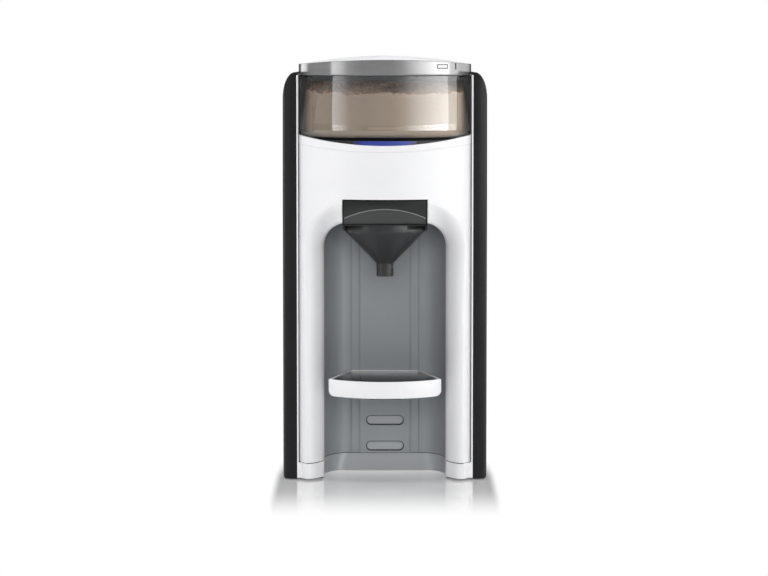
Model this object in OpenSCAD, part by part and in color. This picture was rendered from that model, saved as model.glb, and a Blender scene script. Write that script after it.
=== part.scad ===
// Countertop baby formula maker: powder container and drive on top, mixing funnel
// above an open bottle bay, water tank at the back, controls on the right side.
// Millimetres, +Z up, front towards -Y, origin at the middle of the footprint.

/* [Body] */
// Overall size from the nose to the back of the tank
depth = 320; // [300:5:400]
// Radius of the round top that the powder container stands in
nose_r = 84.5; // [80:0.5:105]
// Radius of the nose's front curve
nose_curve_r = 93; // [88:1:110]
// Wall of the white housings
skin = 2.8; // [2:0.1:4]
// Height of the rubber feet
foot_h = 2; // [1:0.5:5]
// Height of the white base above the feet
base_h = 15; // [12:0.5:30]
// How far the nose's top edge sinks at the front
dip = 7.2; // [3:0.2:8]
// How far the collar's top edge sinks at the front
collar_dip = 9.6; // [4:0.2:10]
// Height of the collar round the container's foot
collar_h = 6; // [4:0.5:8]

/* [Bottle bay] */
// Half the width of the bay
bay_half_w = 60.5; // [50:0.5:64]
// Height of the bay above the table
bay_top = 253.5; // [200:0.5:305]
// Depth of the bay, from the front of the nose
bay_depth = 120; // [110:1:135]
// Radius of the arch's two top corners
arch_r = 27; // [20:1:34]
// Radius of the bay's upright back corners
bay_corner_r = 24.8; // [15:0.1:30]
// Wall of the grey bay liner
liner_t = 2.5; // [2:0.1:3]

/* [Tray] */
// Height of the tray's top above the table
tray_z = 100; // [96:1:125]
// Height of the tray's lip
lip_h = 16; // [12:1:18]
// Radius of the tray's curved front
tray_front_r = 66; // [58:1:72]
// Width and height of a tray slot
slot_size = [37, 9.2]; // [6:0.1:40]
// Distance between the tray slots
slot_pitch = 25.7; // [20:0.1:26]

/* [Funnel] */
// Outer radius of the funnel's rim
funnel_r = 37.2; // [30:0.1:37.5]
// Outer radius of the spout
spout_r = 9; // [7:0.5:12]
// Height of the funnel, rim to spout end
funnel_h = 53; // [45:1:60]
// Height of the dark hood above the funnel
hood_h = 22.4; // [18:0.2:26]
// Half the width of the hood
hood_half_w = 40.4; // [39.5:0.1:44]
// Wall of the funnel
funnel_wall = 1.8; // [1.2:0.1:2.5]

/* [Powder container] */
// Height of the clear tub
tub_h = 62; // [50:1:85]
// Wall of the clear tub
tub_wall = 2.4; // [1.8:0.1:3]
// Radius of the dosing wheel
wheel_r = 60; // [50:1:61]
// Number of dosing pockets
pockets = 4; // [3:1:9]
// Radius of one pocket
pocket_r = 9; // [6:0.5:10]
// Distance of the powder outlet from the container's axis
outlet_offset = 35.5; // [35.5:0.5:39]
// Height of the silver band on the lid
lid_band_h = 10.5; // [8:0.5:16]
// How much higher the band is at its front and back
lid_crown = 4; // [0:0.5:5]
// Rise of the lid's dome above its edge
lid_dome = 8; // [5:0.5:10]

/* [Drive] */
// Gear module
gear_m = 1; // [0.9:0.05:1]
// Teeth on the spindle gear, the idler and the pinion
gear_teeth = [40, 32, 12]; // [12:4:40]
// Thickness of the gears
gear_t = 8; // [5:1:9]
// Radius of the spindle
spindle_r = 4; // [3:0.5:4.5]
// Side of the square coupling dog
dog = 8; // [6:0.5:8]

/* [Water tank] */
// Depth of the tank's space at the back
tank_depth = 55; // [45:1:75]
// Half the width of the tank
tank_half_w = 74; // [60:1:76]
// Height of the pedestal that carries the tank
pedestal_top = 150; // [120:1:180]
// Wall of the tank
tank_wall = 2.4; // [2:0.1:3.5]
// Radius of the tank's back corners
tank_corner_r = 14; // [8:1:20]

/* [Side panels and controls] */
// How far each black side panel bulges from the housing
panel_bulge = 16; // [12:0.5:20]
// Wall of the side panels
panel_t = 2.6; // [2:0.1:3.5]
// Size of the control plate, along Y and Z
fascia = [60, 112]; // [50:1:120]
// Radius of the round buttons
button_r = 6; // [4:0.5:7]
// Travel of a button
button_travel = 1; // [0.5:0.1:1.4]

/* [Hidden] */
$fn = 96;
run = 0.05;            // radial clearance of a running fit
fit = 0.3;             // clearance between pieces that slide or lift out
seam_z = foot_h + base_h;
front_y = -depth / 2;
back_y = depth / 2;
axis_y = front_y + nose_r;
bay_back_y = front_y + bay_depth;
tank_front_y = back_y - tank_depth;
nose_half_w = nose_r - 1;
wing_half_w = nose_half_w + 0.5;                // inner face of the wings beside the nose
tub_r = nose_r - 1.5;
tub_edge_r = 10;
well_r = tub_r + 0.6;
mid_half_w = well_r + 1.8;
panel_x = mid_half_w + panel_bulge;
nose_front_r = max(nose_curve_r, nose_half_w + 8);
nose_mid_y = front_y + nose_front_r;
wing_front_y = nose_mid_y - sqrt(pow(nose_front_r, 2) - pow(nose_half_w, 2)) - 4;

notch_half_w = hood_half_w + 0.6;
flange_z = bay_top - 3.5;                       // underside of the funnel's flange
flange_t = 2;
hood_top = flange_z + flange_t + 0.1 + hood_h;
notch_top = hood_top + 0.5;
funnel_bay_top = notch_top + 2.5;
funnel_bay_t = 2;
plate_z = funnel_bay_top + 9.5;                 // underside of the drive plate
plate_t = 4;
gear_z = plate_z + plate_t + 6;
seat_z = gear_z + gear_t + 13;                  // underside of the container's seat
seat_t = 3;
nozzle_z = funnel_bay_top + fit;
hose_r = 2.6;
barb_r = 2.4;                                   // stub that a hose slips onto
shell_top = seat_z + seat_t + 6.4;              // at the sides of the nose
shell_low = shell_top - dip;                    // at the middle of the nose
function roll_r(half, drop) = (pow(half, 2) + pow(drop, 2)) / (2 * drop);
dip_r = roll_r(nose_r, dip);
collar_dip_r = roll_r(nose_r, collar_dip);

foot_z = seat_z + seat_t + fit;                 // underside of the container
tub_z = shell_low + collar_h + 4.8;             // underside of the clear tub
tub_top = tub_z + tub_h;
deck_top = tub_top;
wheel_z = tub_z + fit;
wheel_t = 10;
lid_z = tub_top + fit;
lid_top = lid_z + lid_band_h;
lid_r = tub_r + 1.1;
trim_t = 1.6;
collar_bore = nose_r - 5;

outlet_r = 11;
chute_t = 2;
funnel_y = axis_y - outlet_offset;
hood_front_y = nose_mid_y - sqrt(pow(nose_front_r, 2) - pow(notch_half_w, 2));
funnel_back_y = funnel_y + 45;
hood_back_y = funnel_back_y - fit;

gear_gap = 0.1;
idler_y = axis_y + gear_m * (gear_teeth[0] + gear_teeth[1]) / 2 + gear_gap;
pinion_y = idler_y + gear_m * (gear_teeth[1] + gear_teeth[2]) / 2 + gear_gap;
motor_r = 18.5;
motor_y = pinion_y + 7;

tray_mid_y = front_y + 7 + tray_front_r;
tray_back_y = bay_back_y - 2 - fit;
tray_back_half_w = bay_half_w - bay_corner_r;
slot_top_z = tray_z - lip_h - 8.5;              // middle of the highest slot
slot_zs = [for (i = [0:2]) slot_top_z - i * slot_pitch];

tank_y = (tank_front_y + back_y) / 2;
tank_z = pedestal_top + 1.5;
tank_top = deck_top - 7;
stub_r = 9;
rear_half_w = tank_half_w + 4;
hinge_y = back_y - 5;
hinge_z = tank_top + 3;
pin_r = 1.75;
ears = [[22, 28.7], [-28.7, -22]];              // tank ears, along X

panel_front_y = wing_front_y + 0.5;
panel_mid_y = (panel_front_y + tank_front_y) / 2;
panel_sag = 3;                                  // by which the cover's side curves inwards
panel_curve_r = roll_r((tank_front_y - panel_front_y) / 2, panel_sag);
panel_nose_r = 9;                               // of its upright front edge
panel_top = deck_top + 3;
fascia_x = panel_x - 2;
fascia_z = panel_top - 171;                     // lower edge of the control plate
fascia_y = panel_mid_y - fascia[0] / 2;
button_zs = [for (i = [0:2]) fascia_z + 14 + i * 17];
button_ys = [panel_mid_y - 14, panel_mid_y + 14];
board_depth = -5;                               // display board, behind the plate's face

heater_at = [-42, bay_back_y + 66];
heater_top = 164;                               // top of its steel body
pump_at = [38, bay_back_y + 64];
board_y = tank_front_y - skin - 6;
far = 600;

// ---- helpers ----

module block(lo, hi) {
    translate(lo) cube(hi - lo);
}

module on_axis(z = 0) {
    translate([0, axis_y, z]) children();
}

module along_x(x0, x1) {
    translate([x0, 0, 0]) rotate([90, 0, 90]) linear_extrude(x1 - x0) children();
}

module along_y(y0, y1) {
    translate([0, y1, 0]) rotate([90, 0, 0]) linear_extrude(y1 - y0) children();
}

module tube(r_out, r_in, h) {
    difference() {
        cylinder(r = r_out, h = h);
        translate([0, 0, -1]) cylinder(r = r_in, h = h + 2);
    }
}

// Rectangle between two corners, with round corners
module slab(lo, hi, r) {
    w = hi - lo;
    translate(lo) {
        translate([r, 0]) square([w[0] - 2 * r, w[1]]);
        translate([0, r]) square([w[0], w[1] - 2 * r]);
        for (x = [r, w[0] - r], y = [r, w[1] - r])
            translate([x, y]) circle(r);
    }
}

// Outline of the nose, open at the back
module nose_plan(inset) {
    intersection() {
        translate([0, nose_mid_y]) circle(nose_front_r - inset, $fn = 240);
        translate([-nose_half_w + inset, -far])
            square([2 * (nose_half_w - inset), far + axis_y]);
    }
}

// The same outline run out past its open back, for hollowing
module nose_inside(inset) {
    nose_plan(inset);
    translate([-nose_half_w + inset, axis_y - 1]) square([2 * (nose_half_w - inset), 10]);
}

// Space inside the nose and everything behind it
module inside_nose() {
    linear_extrude(far) nose_plan(skin + run);
    block([-far, axis_y, -1], [far, far, far]);
}

// Big cylinder that gives the nose's top edge its dip
module dip_roll(z_low, r = dip_r) {
    translate([0, far / 2, z_low + r]) rotate([90, 0, 0]) cylinder(r = r, h = far, $fn = 720);
}

// Big cylinder under a crowned edge
module crown_roll(z_high, r) {
    translate([0, far / 2, z_high - r]) rotate([90, 0, 0]) cylinder(r = r, h = far, $fn = 720);
}

// Outer edge of the clear tub, from its floor up
function tub_edge(grow) = [for (a = [0:10:90])
    [tub_r - tub_edge_r + (tub_edge_r + grow) * sin(a),
        tub_z + tub_edge_r - (tub_edge_r + grow) * cos(a)]];

module bay_plan(grow) {
    slab([-bay_half_w - grow, front_y - 60], [bay_half_w + grow, bay_back_y + grow],
        bay_corner_r + grow);
}

module arch(grow) {
    slab([-bay_half_w - grow, -60], [bay_half_w + grow, bay_top + grow], arch_r + grow);
}

module bay_space(grow) {
    intersection() {
        along_y(front_y - 5, bay_back_y + grow + 1) arch(grow);
        linear_extrude(far) bay_plan(grow);
    }
}

// Outline of the whole footprint
module footprint(inset) {
    nose_plan(inset);
    for (s = [0, 1]) mirror([s, 0])
        translate([nose_half_w - 3 - inset, wing_front_y + inset])
            square([mid_half_w - nose_half_w + 3, axis_y - wing_front_y + 1 - inset]);
    translate([-mid_half_w + inset, axis_y])
        square([2 * (mid_half_w - inset), tank_front_y - axis_y - inset]);
    slab([-rear_half_w + inset, tank_front_y - 20], [rear_half_w - inset, back_y - inset],
        tank_corner_r + 2 - inset);
}

module pill(w, h) {
    translate([-w / 2 + h / 2, -h / 2]) square([w - h, h]);
    for (s = [-1, 1]) translate([s * (w - h) / 2, 0]) circle(h / 2);
}

// Involute gear outline with its teeth on multiples of 360 / n
function inv_deg(a) = tan(a) * 180 / PI - a;
function flank_deg(n, r) =
    let (rb = n * gear_m / 2 * cos(20), half = 90 / n - 0.16 / (n * gear_m) * 180 / PI)
    half + inv_deg(20) - (r > rb ? inv_deg(acos(rb / r)) : 0);
module gear_outline(n) {
    rp = n * gear_m / 2;
    rs = [rp - 1.15 * gear_m, rp - 0.3 * gear_m, rp + 0.35 * gear_m, rp + 0.9 * gear_m];
    polygon([for (k = [0:n - 1], j = [0:7])
        let (r = rs[j < 4 ? j : 7 - j], a = flank_deg(n, r) * (j < 4 ? -1 : 1))
        r * [cos(360 * k / n + a), sin(360 * k / n + a)]]);
}

// Hose swept through a list of points, as one smooth closed tube
function knot(p, i) = p[max(0, min(len(p) - 1, i))];
function spline(p, i, t) = let (a = knot(p, i - 1), b = knot(p, i), c = knot(p, i + 1),
    d = knot(p, i + 2)) 0.5 * (2 * b + (c - a) * t + (2 * a - 5 * b + 4 * c - d) * t * t
    + (3 * b - a - 3 * c + d) * t * t * t);
module hose(p, r, steps = 5, sides = 10) {
    mids = concat([for (i = [0:len(p) - 2], t = [0:steps - 1]) spline(p, i, t / steps)],
        [p[len(p) - 1]]);
    last = len(mids) - 1;
    rings = [for (i = [0:last])
        let (t = mids[min(last, i + 1)] - mids[max(0, i - 1)],
            u = cross(t, [1, 0.35, 0.2]) / norm(cross(t, [1, 0.35, 0.2])),
            v = cross(t, u) / norm(t))
        [for (k = [0:sides - 1]) mids[i] + r * (cos(360 * k / sides) * u
            + sin(360 * k / sides) * v)]];
    polyhedron([for (ring = rings) each ring], concat(
        [[for (k = [0:sides - 1]) sides - 1 - k]],
        [[for (k = [0:sides - 1]) last * sides + k]],
        [for (i = [0:last - 1], k = [0:sides - 1], h = [0, 1])
            let (a = i * sides + k, b = i * sides + (k + 1) % sides)
            h == 0 ? [a, b, b + sides] : [a, b + sides, a + sides]]));
}

// ---- housings ----

module base_tray() {
    color("white") difference() {
        translate([0, 0, foot_h]) linear_extrude(base_h) footprint(0);
        translate([0, 0, foot_h + 3]) linear_extrude(base_h) footprint(skin);
        linear_extrude(far) bay_plan(0);
        intersection() {
            linear_extrude(far) bay_plan(liner_t + run);
            linear_extrude(far) footprint(skin);
        }
        for (x = [-48, 48]) translate([x, back_y - 40, -1]) cylinder(r = 2, h = 10);
    }
}

module bay_sill() {
    color("slategray") intersection() {
        translate([0, 0, foot_h]) linear_extrude(base_h) difference() {
            bay_plan(liner_t);
            bay_plan(0);
        }
        linear_extrude(far) footprint(skin + run);
    }
}

module front_shell() {
    color("white") difference() {
        union() {
            translate([0, 0, seam_z]) linear_extrude(shell_top + 2 - seam_z) difference() {
                nose_plan(0);
                nose_inside(skin);
            }
            translate([0, 0, plate_z - 3]) linear_extrude(3) difference() {
                nose_plan(skin - 1);
                nose_inside(skin + 4);
            }
        }
        along_y(front_y - 1, axis_y + 1) arch(0);
        block([-notch_half_w, front_y - 1, bay_top - 12], [notch_half_w, axis_y, notch_top]);
        dip_roll(shell_low);
    }
}

module bay_liner() {
    color("gray") difference() {
        union() {
            intersection() {
                difference() {
                    bay_space(liner_t);
                    bay_space(0);
                }
                inside_nose();
                block([-far, -far, seam_z], [far, far, far]);
            }
            block([-25.3, bay_back_y - 2, seam_z], [25.3, bay_back_y + 1, bay_top + 1]);
            for (z = slot_zs)
                block([-slot_size[0] / 2 - 3, bay_back_y + 1, z - slot_size[1] / 2 - 2],
                    [slot_size[0] / 2 + 3, bay_back_y + 8, z + slot_size[1] / 2 + 2]);
        }
        for (z = slot_zs)
            along_y(bay_back_y - 3, bay_back_y + 6)
                translate([0, z]) pill(slot_size[0], slot_size[1]);
        block([-notch_half_w, -far, bay_top - 1],
            [notch_half_w, funnel_back_y, bay_top + liner_t + 1]);
    }
}

module funnel_bay() {
    color("dimgray") difference() {
        intersection() {
            block([-notch_half_w - 2, front_y, bay_top + liner_t],
                [notch_half_w + 2, funnel_back_y + 2, funnel_bay_top]);
            inside_nose();
        }
        block([-notch_half_w, -far, 0],
            [notch_half_w, funnel_back_y, funnel_bay_top - funnel_bay_t]);
        translate([0, funnel_y, 0]) cylinder(r = outlet_r + 10, h = far);
    }
}

module funnel_rails() {
    rail_low = flange_z - 6.8;
    color("dimgray") for (s = [0, 1]) mirror([s, 0, 0]) intersection() {
        along_y(-far, far) arch(-run);
        union() {
            block([notch_half_w, -far, rail_low], [notch_half_w + 2, funnel_back_y, bay_top]);
            block([notch_half_w - 2.2, -far, rail_low],
                [notch_half_w + 1, funnel_back_y, rail_low + 1.6]);
        }
        inside_nose();
    }
}

module collar_ring() {
    color("white") difference() {
        intersection() {
            union() {
                translate([0, 0, shell_low - 1]) linear_extrude(20) nose_plan(0);
                on_axis(shell_low - 1) cylinder(r = well_r - run, h = 20);
            }
            dip_roll(shell_low);
        }
        dip_roll(shell_low + collar_h, collar_dip_r);
        on_axis(0) cylinder(r = collar_bore, h = far);
        on_axis(0) rotate_extrude() polygon(concat([[0, tub_z - fit]], tub_edge(fit),
            [[tub_r + fit, far], [0, far]]));
    }
}

module light_bar() {
    bar_r = tub_r - 0.2;
    color("royalblue") intersection() {
        on_axis(shell_low) tube(bar_r, bar_r - 2.8, collar_h + 4.4);
        dip_roll(shell_low + collar_h, collar_dip_r);
        block([-30, front_y, 0], [30, axis_y, far]);
    }
}

module container_seat() {
    color("dimgray") difference() {
        on_axis(seat_z) cylinder(r = collar_bore - fit, h = seat_t);
        on_axis(0) cylinder(r = dog / 2 * sqrt(2) + 0.8, h = far);
        translate([0, funnel_y, 0]) cylinder(r = outlet_r + chute_t + run, h = far);
    }
}

module mid_housing() {
    color("white") difference() {
        union() {
            difference() {
                block([-mid_half_w, axis_y, seam_z], [mid_half_w, tank_front_y, deck_top]);
                block([-mid_half_w + skin, axis_y - 1, seam_z - 1],
                    [mid_half_w - skin, tank_front_y - skin, deck_top - 3]);
            }
            intersection() {
                on_axis(seat_z) cylinder(r = well_r + 2.4, h = deck_top - seat_z);
                block([-mid_half_w + 1, axis_y, 0], [mid_half_w - 1, far, far]);
            }
            for (s = [0, 1]) mirror([s, 0, 0]) {
                block([nose_half_w - skin, axis_y, seam_z],
                    [mid_half_w - 1, axis_y + 3, shell_low]);
                block([wing_half_w, wing_front_y, seam_z], [mid_half_w, axis_y + 1, deck_top]);
            }
        }
        on_axis(seat_z - 1) cylinder(r = well_r, h = far);
        block([-rear_half_w + skin, tank_front_y - skin - 1, seam_z - 1],
            [rear_half_w - skin, tank_front_y + 1, pedestal_top - 3]);
    }
}

module rear_plan(inset) {
    intersection() {
        slab([-rear_half_w + inset, tank_front_y - 30], [rear_half_w - inset, back_y - inset],
            tank_corner_r + 2 - inset);
        translate([-far, tank_front_y]) square([2 * far, far]);
    }
}

module rear_housing() {
    color("white") difference() {
        translate([0, 0, seam_z]) linear_extrude(pedestal_top - seam_z) rear_plan(0);
        translate([0, 0, seam_z - 1]) linear_extrude(pedestal_top - seam_z - 2)
            rear_plan(skin);
        block([-rear_half_w + skin, tank_front_y - 1, seam_z - 1],
            [rear_half_w - skin, tank_front_y + 20, pedestal_top - 3]);
        translate([0, tank_y, 0]) cylinder(r = stub_r + 3 + run, h = far);
        translate([-45, back_y - 10, seam_z + 20]) rotate([-90, 0, 0])
            cylinder(r = 6, h = 20);
        for (i = [0:5])
            block([15, back_y - 10, seam_z + 14 + 7 * i], [55, back_y + 1, seam_z + 17 + 7 * i]);
    }
}

// Side view of the panel's outer edge, as X and Z
function panel_edge(inset) = concat(
    [[mid_half_w, 1 + inset], [panel_x - 4, 1 + inset], [panel_x - 1.2 - inset, 2.2 + inset],
        [panel_x - inset, 5 + inset], [panel_x - 0.6 - inset, 178]],
    [for (a = [0:10:90]) [panel_x - 14.8 + (12.4 - inset) * cos(a),
        panel_top - 26 + (26 - inset) * sin(a)]],
    [[mid_half_w, panel_top - inset]]);

module panel_solid(inset) {
    x = panel_x - panel_sag - panel_nose_r;
    y = panel_front_y + panel_nose_r;
    difference() {
        intersection() {
            along_y(panel_front_y + inset, tank_front_y - inset) polygon(panel_edge(inset));
            translate([panel_x - panel_curve_r, panel_mid_y, 0])
                cylinder(r = panel_curve_r - inset, h = far, $fn = 720);
        }
        difference() {
            block([x, panel_front_y - 1, -1], [panel_x + 5, y, far]);
            translate([x, y, -2]) cylinder(r = panel_nose_r - inset, h = far + 4);
        }
    }
}

module side_panel() {
    difference() {
        panel_solid(0);
        panel_solid(panel_t);
    }
}

module side_panel_left() {
    color([0.13, 0.13, 0.14]) mirror([1, 0, 0]) side_panel();
}

module side_panel_right() {
    color([0.13, 0.13, 0.14]) difference() {
        side_panel();
        block([mid_half_w + 3, fascia_y, fascia_z],
            [far, fascia_y + fascia[0], fascia_z + fascia[1]]);
    }
}

// ---- controls ----

module control_fascia() {
    color("black") difference() {
        block([fascia_x - 3, fascia_y + run, fascia_z + run],
            [fascia_x, fascia_y + fascia[0] - run, fascia_z + fascia[1] - run]);
        block([fascia_x - 4, panel_mid_y - 20, fascia_z + 64],
            [fascia_x + 1, panel_mid_y + 20, fascia_z + 98]);
        for (y = button_ys, z = button_zs)
            translate([fascia_x - 4, y, z]) rotate([0, 90, 0])
                cylinder(r = button_r + fit, h = 5);
    }
}

module display_module() {
    color("darkslategray") {
        block([fascia_x + board_depth, panel_mid_y - 19.7, fascia_z + 64.3],
            [fascia_x - 0.6, panel_mid_y + 19.7, fascia_z + 97.7]);
        block([fascia_x + board_depth - 1.6, fascia_y + 2, fascia_z + 2],
            [fascia_x + board_depth, fascia_y + fascia[0] - 2, fascia_z + fascia[1] - 2]);
    }
}

module button(i) {
    y = button_ys[i % 2];
    z = button_zs[floor(i / 2)];
    switch_gap = 0.6;                           // left over when the button is pressed
    color("gainsboro") translate([fascia_x, y, z]) rotate([0, 90, 0]) {
        translate([0, 0, -3.2]) cylinder(r = button_r, h = 4.4);
        translate([0, 0, board_depth + button_travel + switch_gap]) cylinder(r = 2, h = 1);
    }
}

// ---- powder drive ----

module chassis_plate() {
    color("silver") difference() {
        union() {
            intersection() {
                on_axis(plate_z) cylinder(r = nose_half_w - skin - fit, h = plate_t);
                block([-70, -far, 0], [70, far, far]);
            }
            block([-40, axis_y, plate_z], [40, motor_y + motor_r + 2, plate_z + plate_t]);
            for (s = [-1, 1], p = [[55, -30], [50, 45]])
                translate([s * p[0], axis_y + p[1], plate_z])
                    cylinder(r = 4, h = seat_z - plate_z);
        }
        on_axis(0) cylinder(r = 7, h = far);
        translate([0, funnel_y, 0]) cylinder(r = outlet_r + chute_t + run, h = far);
        translate([0, idler_y, 0]) cylinder(r = 3.02, h = far);
        translate([0, pinion_y, 0]) cylinder(r = 5, h = far);
    }
}

module gear_motor() {
    color("gray") difference() {
        union() {
            translate([0, motor_y, plate_z - 19]) cylinder(r = motor_r, h = 19);
            translate([0, motor_y, plate_z - 55]) cylinder(r = motor_r - 1.5, h = 36);
            translate([0, motor_y, plate_z - 60]) cylinder(r = 5, h = 5);
        }
        translate([0, pinion_y, plate_z - 8]) cylinder(r = 2.5 + run, h = 10);
    }
}

module motor_pinion() {
    color("goldenrod") translate([0, pinion_y, 0]) {
        translate([0, 0, gear_z]) linear_extrude(gear_t) gear_outline(gear_teeth[2]);
        translate([0, 0, plate_z - 7.5]) cylinder(r = 2.5, h = gear_z + 2 - plate_z + 7.5);
    }
}

module idler_pin() {
    color("silver") translate([0, idler_y, plate_z]) {
        cylinder(r = 3, h = gear_z + gear_t + fit - plate_z);
        translate([0, 0, gear_z + gear_t + fit - plate_z]) cylinder(r = 5, h = 1.6);
    }
}

module idler_gear() {
    hub_z = plate_z + plate_t + fit;
    color("ivory") translate([0, idler_y, 0]) difference() {
        union() {
            translate([0, 0, gear_z]) rotate([0, 0, 180 / gear_teeth[1]])
                linear_extrude(gear_t) gear_outline(gear_teeth[1]);
            translate([0, 0, hub_z]) cylinder(r = 6, h = gear_z - hub_z + 1);
        }
        cylinder(r = 3 + run, h = far);
    }
}

module spindle_bush() {
    color("goldenrod") on_axis(0) difference() {
        union() {
            translate([0, 0, plate_z]) cylinder(r = 7, h = gear_z - fit - plate_z);
            translate([0, 0, plate_z - 2]) cylinder(r = 9, h = 2);
        }
        cylinder(r = spindle_r + run, h = far);
    }
}

module drive_spindle() {
    dog_z = gear_z + gear_t + 6;
    dog_top = tub_z + 5;
    color("silver") on_axis(0) {
        translate([0, 0, plate_z - 2.5]) cylinder(r = spindle_r, h = dog_z - plate_z + 3.5);
        translate([0, 0, plate_z - 4]) cylinder(r = spindle_r + 2, h = 1.7);
        translate([-dog / 2, -dog / 2, dog_z]) cube([dog, dog, dog_top - dog_z]);
    }
}

module spindle_gear() {
    color("ivory") on_axis(gear_z) difference() {
        union() {
            linear_extrude(gear_t) gear_outline(gear_teeth[0]);
            cylinder(r = spindle_r + 4, h = gear_t + 4);
        }
        translate([0, 0, -1]) cylinder(r = spindle_r + run, h = far);
    }
}

module powder_chute() {
    color("dimgray") translate([0, funnel_y, notch_top + 1])
        tube(outlet_r + chute_t, outlet_r, seat_z + seat_t - notch_top - 1);
}

// ---- water path ----

module nozzle_ring() {
    color("dimgray") translate([0, funnel_y, nozzle_z]) {
        difference() {
            tube(outlet_r + 8, outlet_r + chute_t + run, plate_z - nozzle_z);
            for (a = [30:60:330]) rotate([0, 0, a])
                translate([outlet_r + 5, 0, -1]) cylinder(r = 0.8, h = 4);
        }
        translate([-10, outlet_r, 4.6]) rotate([-90, 0, 0]) cylinder(r = 1.8, h = 14);
    }
}

module nozzle_hose() {
    z = nozzle_z + 4.6;
    top = heater_top + 18;
    start_y = funnel_y + outlet_r + 14 + fit;
    x = heater_at[0];
    y = heater_at[1];
    color("lightgray") hose([[-10, start_y, z], [-10, start_y + 8, z], [-11, start_y + 18, z],
        [-18, axis_y + 25, z], [-32, bay_back_y + 6, z - 4], [x, y - 24, z - 24],
        [x, y - 4, z - 52],
        [x, y, top + 28], [x, y, top + 14], [x, y, top + fit]], hose_r);
}

module heater() {
    color("silver") translate([heater_at[0], heater_at[1], 0]) {
        translate([0, 0, heater_top - 110]) cylinder(r = 20, h = 110);
        translate([0, 0, foot_h + 3]) cylinder(r = 8, h = heater_top - 112 - foot_h);
        translate([0, 0, heater_top]) cylinder(r = 14, h = 6);
        translate([0, 0, heater_top + 6]) cylinder(r = barb_r, h = 12);
        translate([6, 0, 40]) rotate([0, 90, 0]) cylinder(r = barb_r, h = 8);
    }
}

module heater_hose() {
    x = heater_at[0] + 14;
    y = heater_at[1];
    color("lightgray") hose([[pump_at[0] - 20 - fit, pump_at[1], 60],
        [pump_at[0] - 28, pump_at[1], 60], [pump_at[0] - 36, pump_at[1] - 1, 57],
        [-6, pump_at[1] - 2, 48], [x + 16, y, 41], [x + 8, y, 40], [x + fit, y, 40]], hose_r);
}

module pump() {
    color("dimgray") translate([pump_at[0], pump_at[1], foot_h + 3]) {
        block([-20, -22, 0], [20, 22, 6]);
        block([-17, -18, 6], [17, 18, 44]);
        translate([0, 0, 43]) cylinder(r = 15, h = 26);
        translate([-20, 0, 55]) rotate([0, 90, 0]) cylinder(r = 4, h = 12);
        translate([0, 6, 60]) rotate([-90, 0, 0]) cylinder(r = 4, h = 16);
    }
}

module inlet_hose() {
    x = pump_at[0];
    y = pump_at[1] + 22;
    z = foot_h + 63;
    color("lightgray") hose([[x, y + fit, z], [x, y + 8, z], [x - 1, y + 18, z + 1],
        [x - 12, tank_y - 22, z + 8], [8, tank_y - 4, z + 22], [0, tank_y, pedestal_top - 54],
        [0, tank_y, pedestal_top - 43], [0, tank_y, pedestal_top - 32 - fit]], hose_r);
}

module tank_socket() {
    color("dimgray") translate([0, tank_y, 0]) {
        difference() {
            union() {
                translate([0, 0, pedestal_top - 16]) cylinder(r = stub_r + 3, h = 16);
                translate([0, 0, pedestal_top]) cylinder(r = stub_r + 6, h = 1.2);
            }
            translate([0, 0, pedestal_top - 13.5]) cylinder(r = stub_r + 1, h = 20);
            translate([0, 0, pedestal_top - 20]) cylinder(r = barb_r / 2, h = 20);
        }
        translate([0, 0, pedestal_top - 16]) difference() {
            cylinder(r = barb_r, h = 5);
            translate([0, 0, -1]) cylinder(r = barb_r / 2, h = 10);
        }
        translate([0, 0, pedestal_top - 32]) cylinder(r = barb_r, h = 17);
    }
}

module main_board() {
    low_z = 190;
    top_z = seat_z + 20;
    half_w = 60;
    color("darkgreen") {
        block([-half_w, board_y, low_z], [half_w, board_y + 1.6, top_z]);
        for (x = [-half_w + 8, half_w - 8], z = [low_z + 8, top_z - 8])
            translate([x, board_y + 1.6, z]) rotate([-90, 0, 0])
                cylinder(r = 3, h = tank_front_y - skin - board_y - 1.6);
        block([-20, board_y - 4, low_z + 30], [10, board_y, low_z + 55]);
        block([-50, board_y - 10, low_z + 10], [-30, board_y, low_z + 22]);
        block([25, board_y - 12, low_z + 70], [50, board_y, low_z + 90]);
    }
}

module power_board() {
    z = foot_h + 7;
    y = tank_front_y - 12;
    color("darkgreen") {
        block([-50, y, z], [-5, y + 50, z + 1.6]);
        for (x = [-46, -9], yy = [y + 4, y + 46])
            translate([x, yy, foot_h + 3]) cylinder(r = 2.5, h = z - foot_h - 3);
        block([-46, y + 10, z + 1.6], [-28, y + 28, z + 22]);
        block([-24, y + 8, z + 1.6], [-10, y + 40, z + 16]);
    }
}

module cord_gland() {
    color("black") translate([-45, back_y, seam_z + 20]) rotate([90, 0, 0]) difference() {
        union() {
            cylinder(r = 6, h = 8);
            translate([0, 0, skin]) cylinder(r = 8.5, h = 3);
        }
        translate([0, 0, -1]) cylinder(r = 3.3, h = 12);
    }
}

module rubber_feet() {
    color("black") for (p = [[-71.5, axis_y - 14], [71.5, axis_y - 14], [-62, back_y - 22],
        [62, back_y - 22]])
        translate([p[0], p[1], 0]) cylinder(r = 8, h = foot_h);
}

module base_screws() {
    color("silver") for (x = [-48, 48]) translate([x, back_y - 40, 0]) {
        translate([0, 0, foot_h + 3]) cylinder(r = 3.5, h = 2);
        translate([0, 0, foot_h]) cylinder(r = 2 - run, h = 4);
    }
}

// ---- powder container ----

module wheel_bush() {
    color("goldenrod") on_axis(foot_z) tube(10, 7.6, tub_z - foot_z);
}

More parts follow.
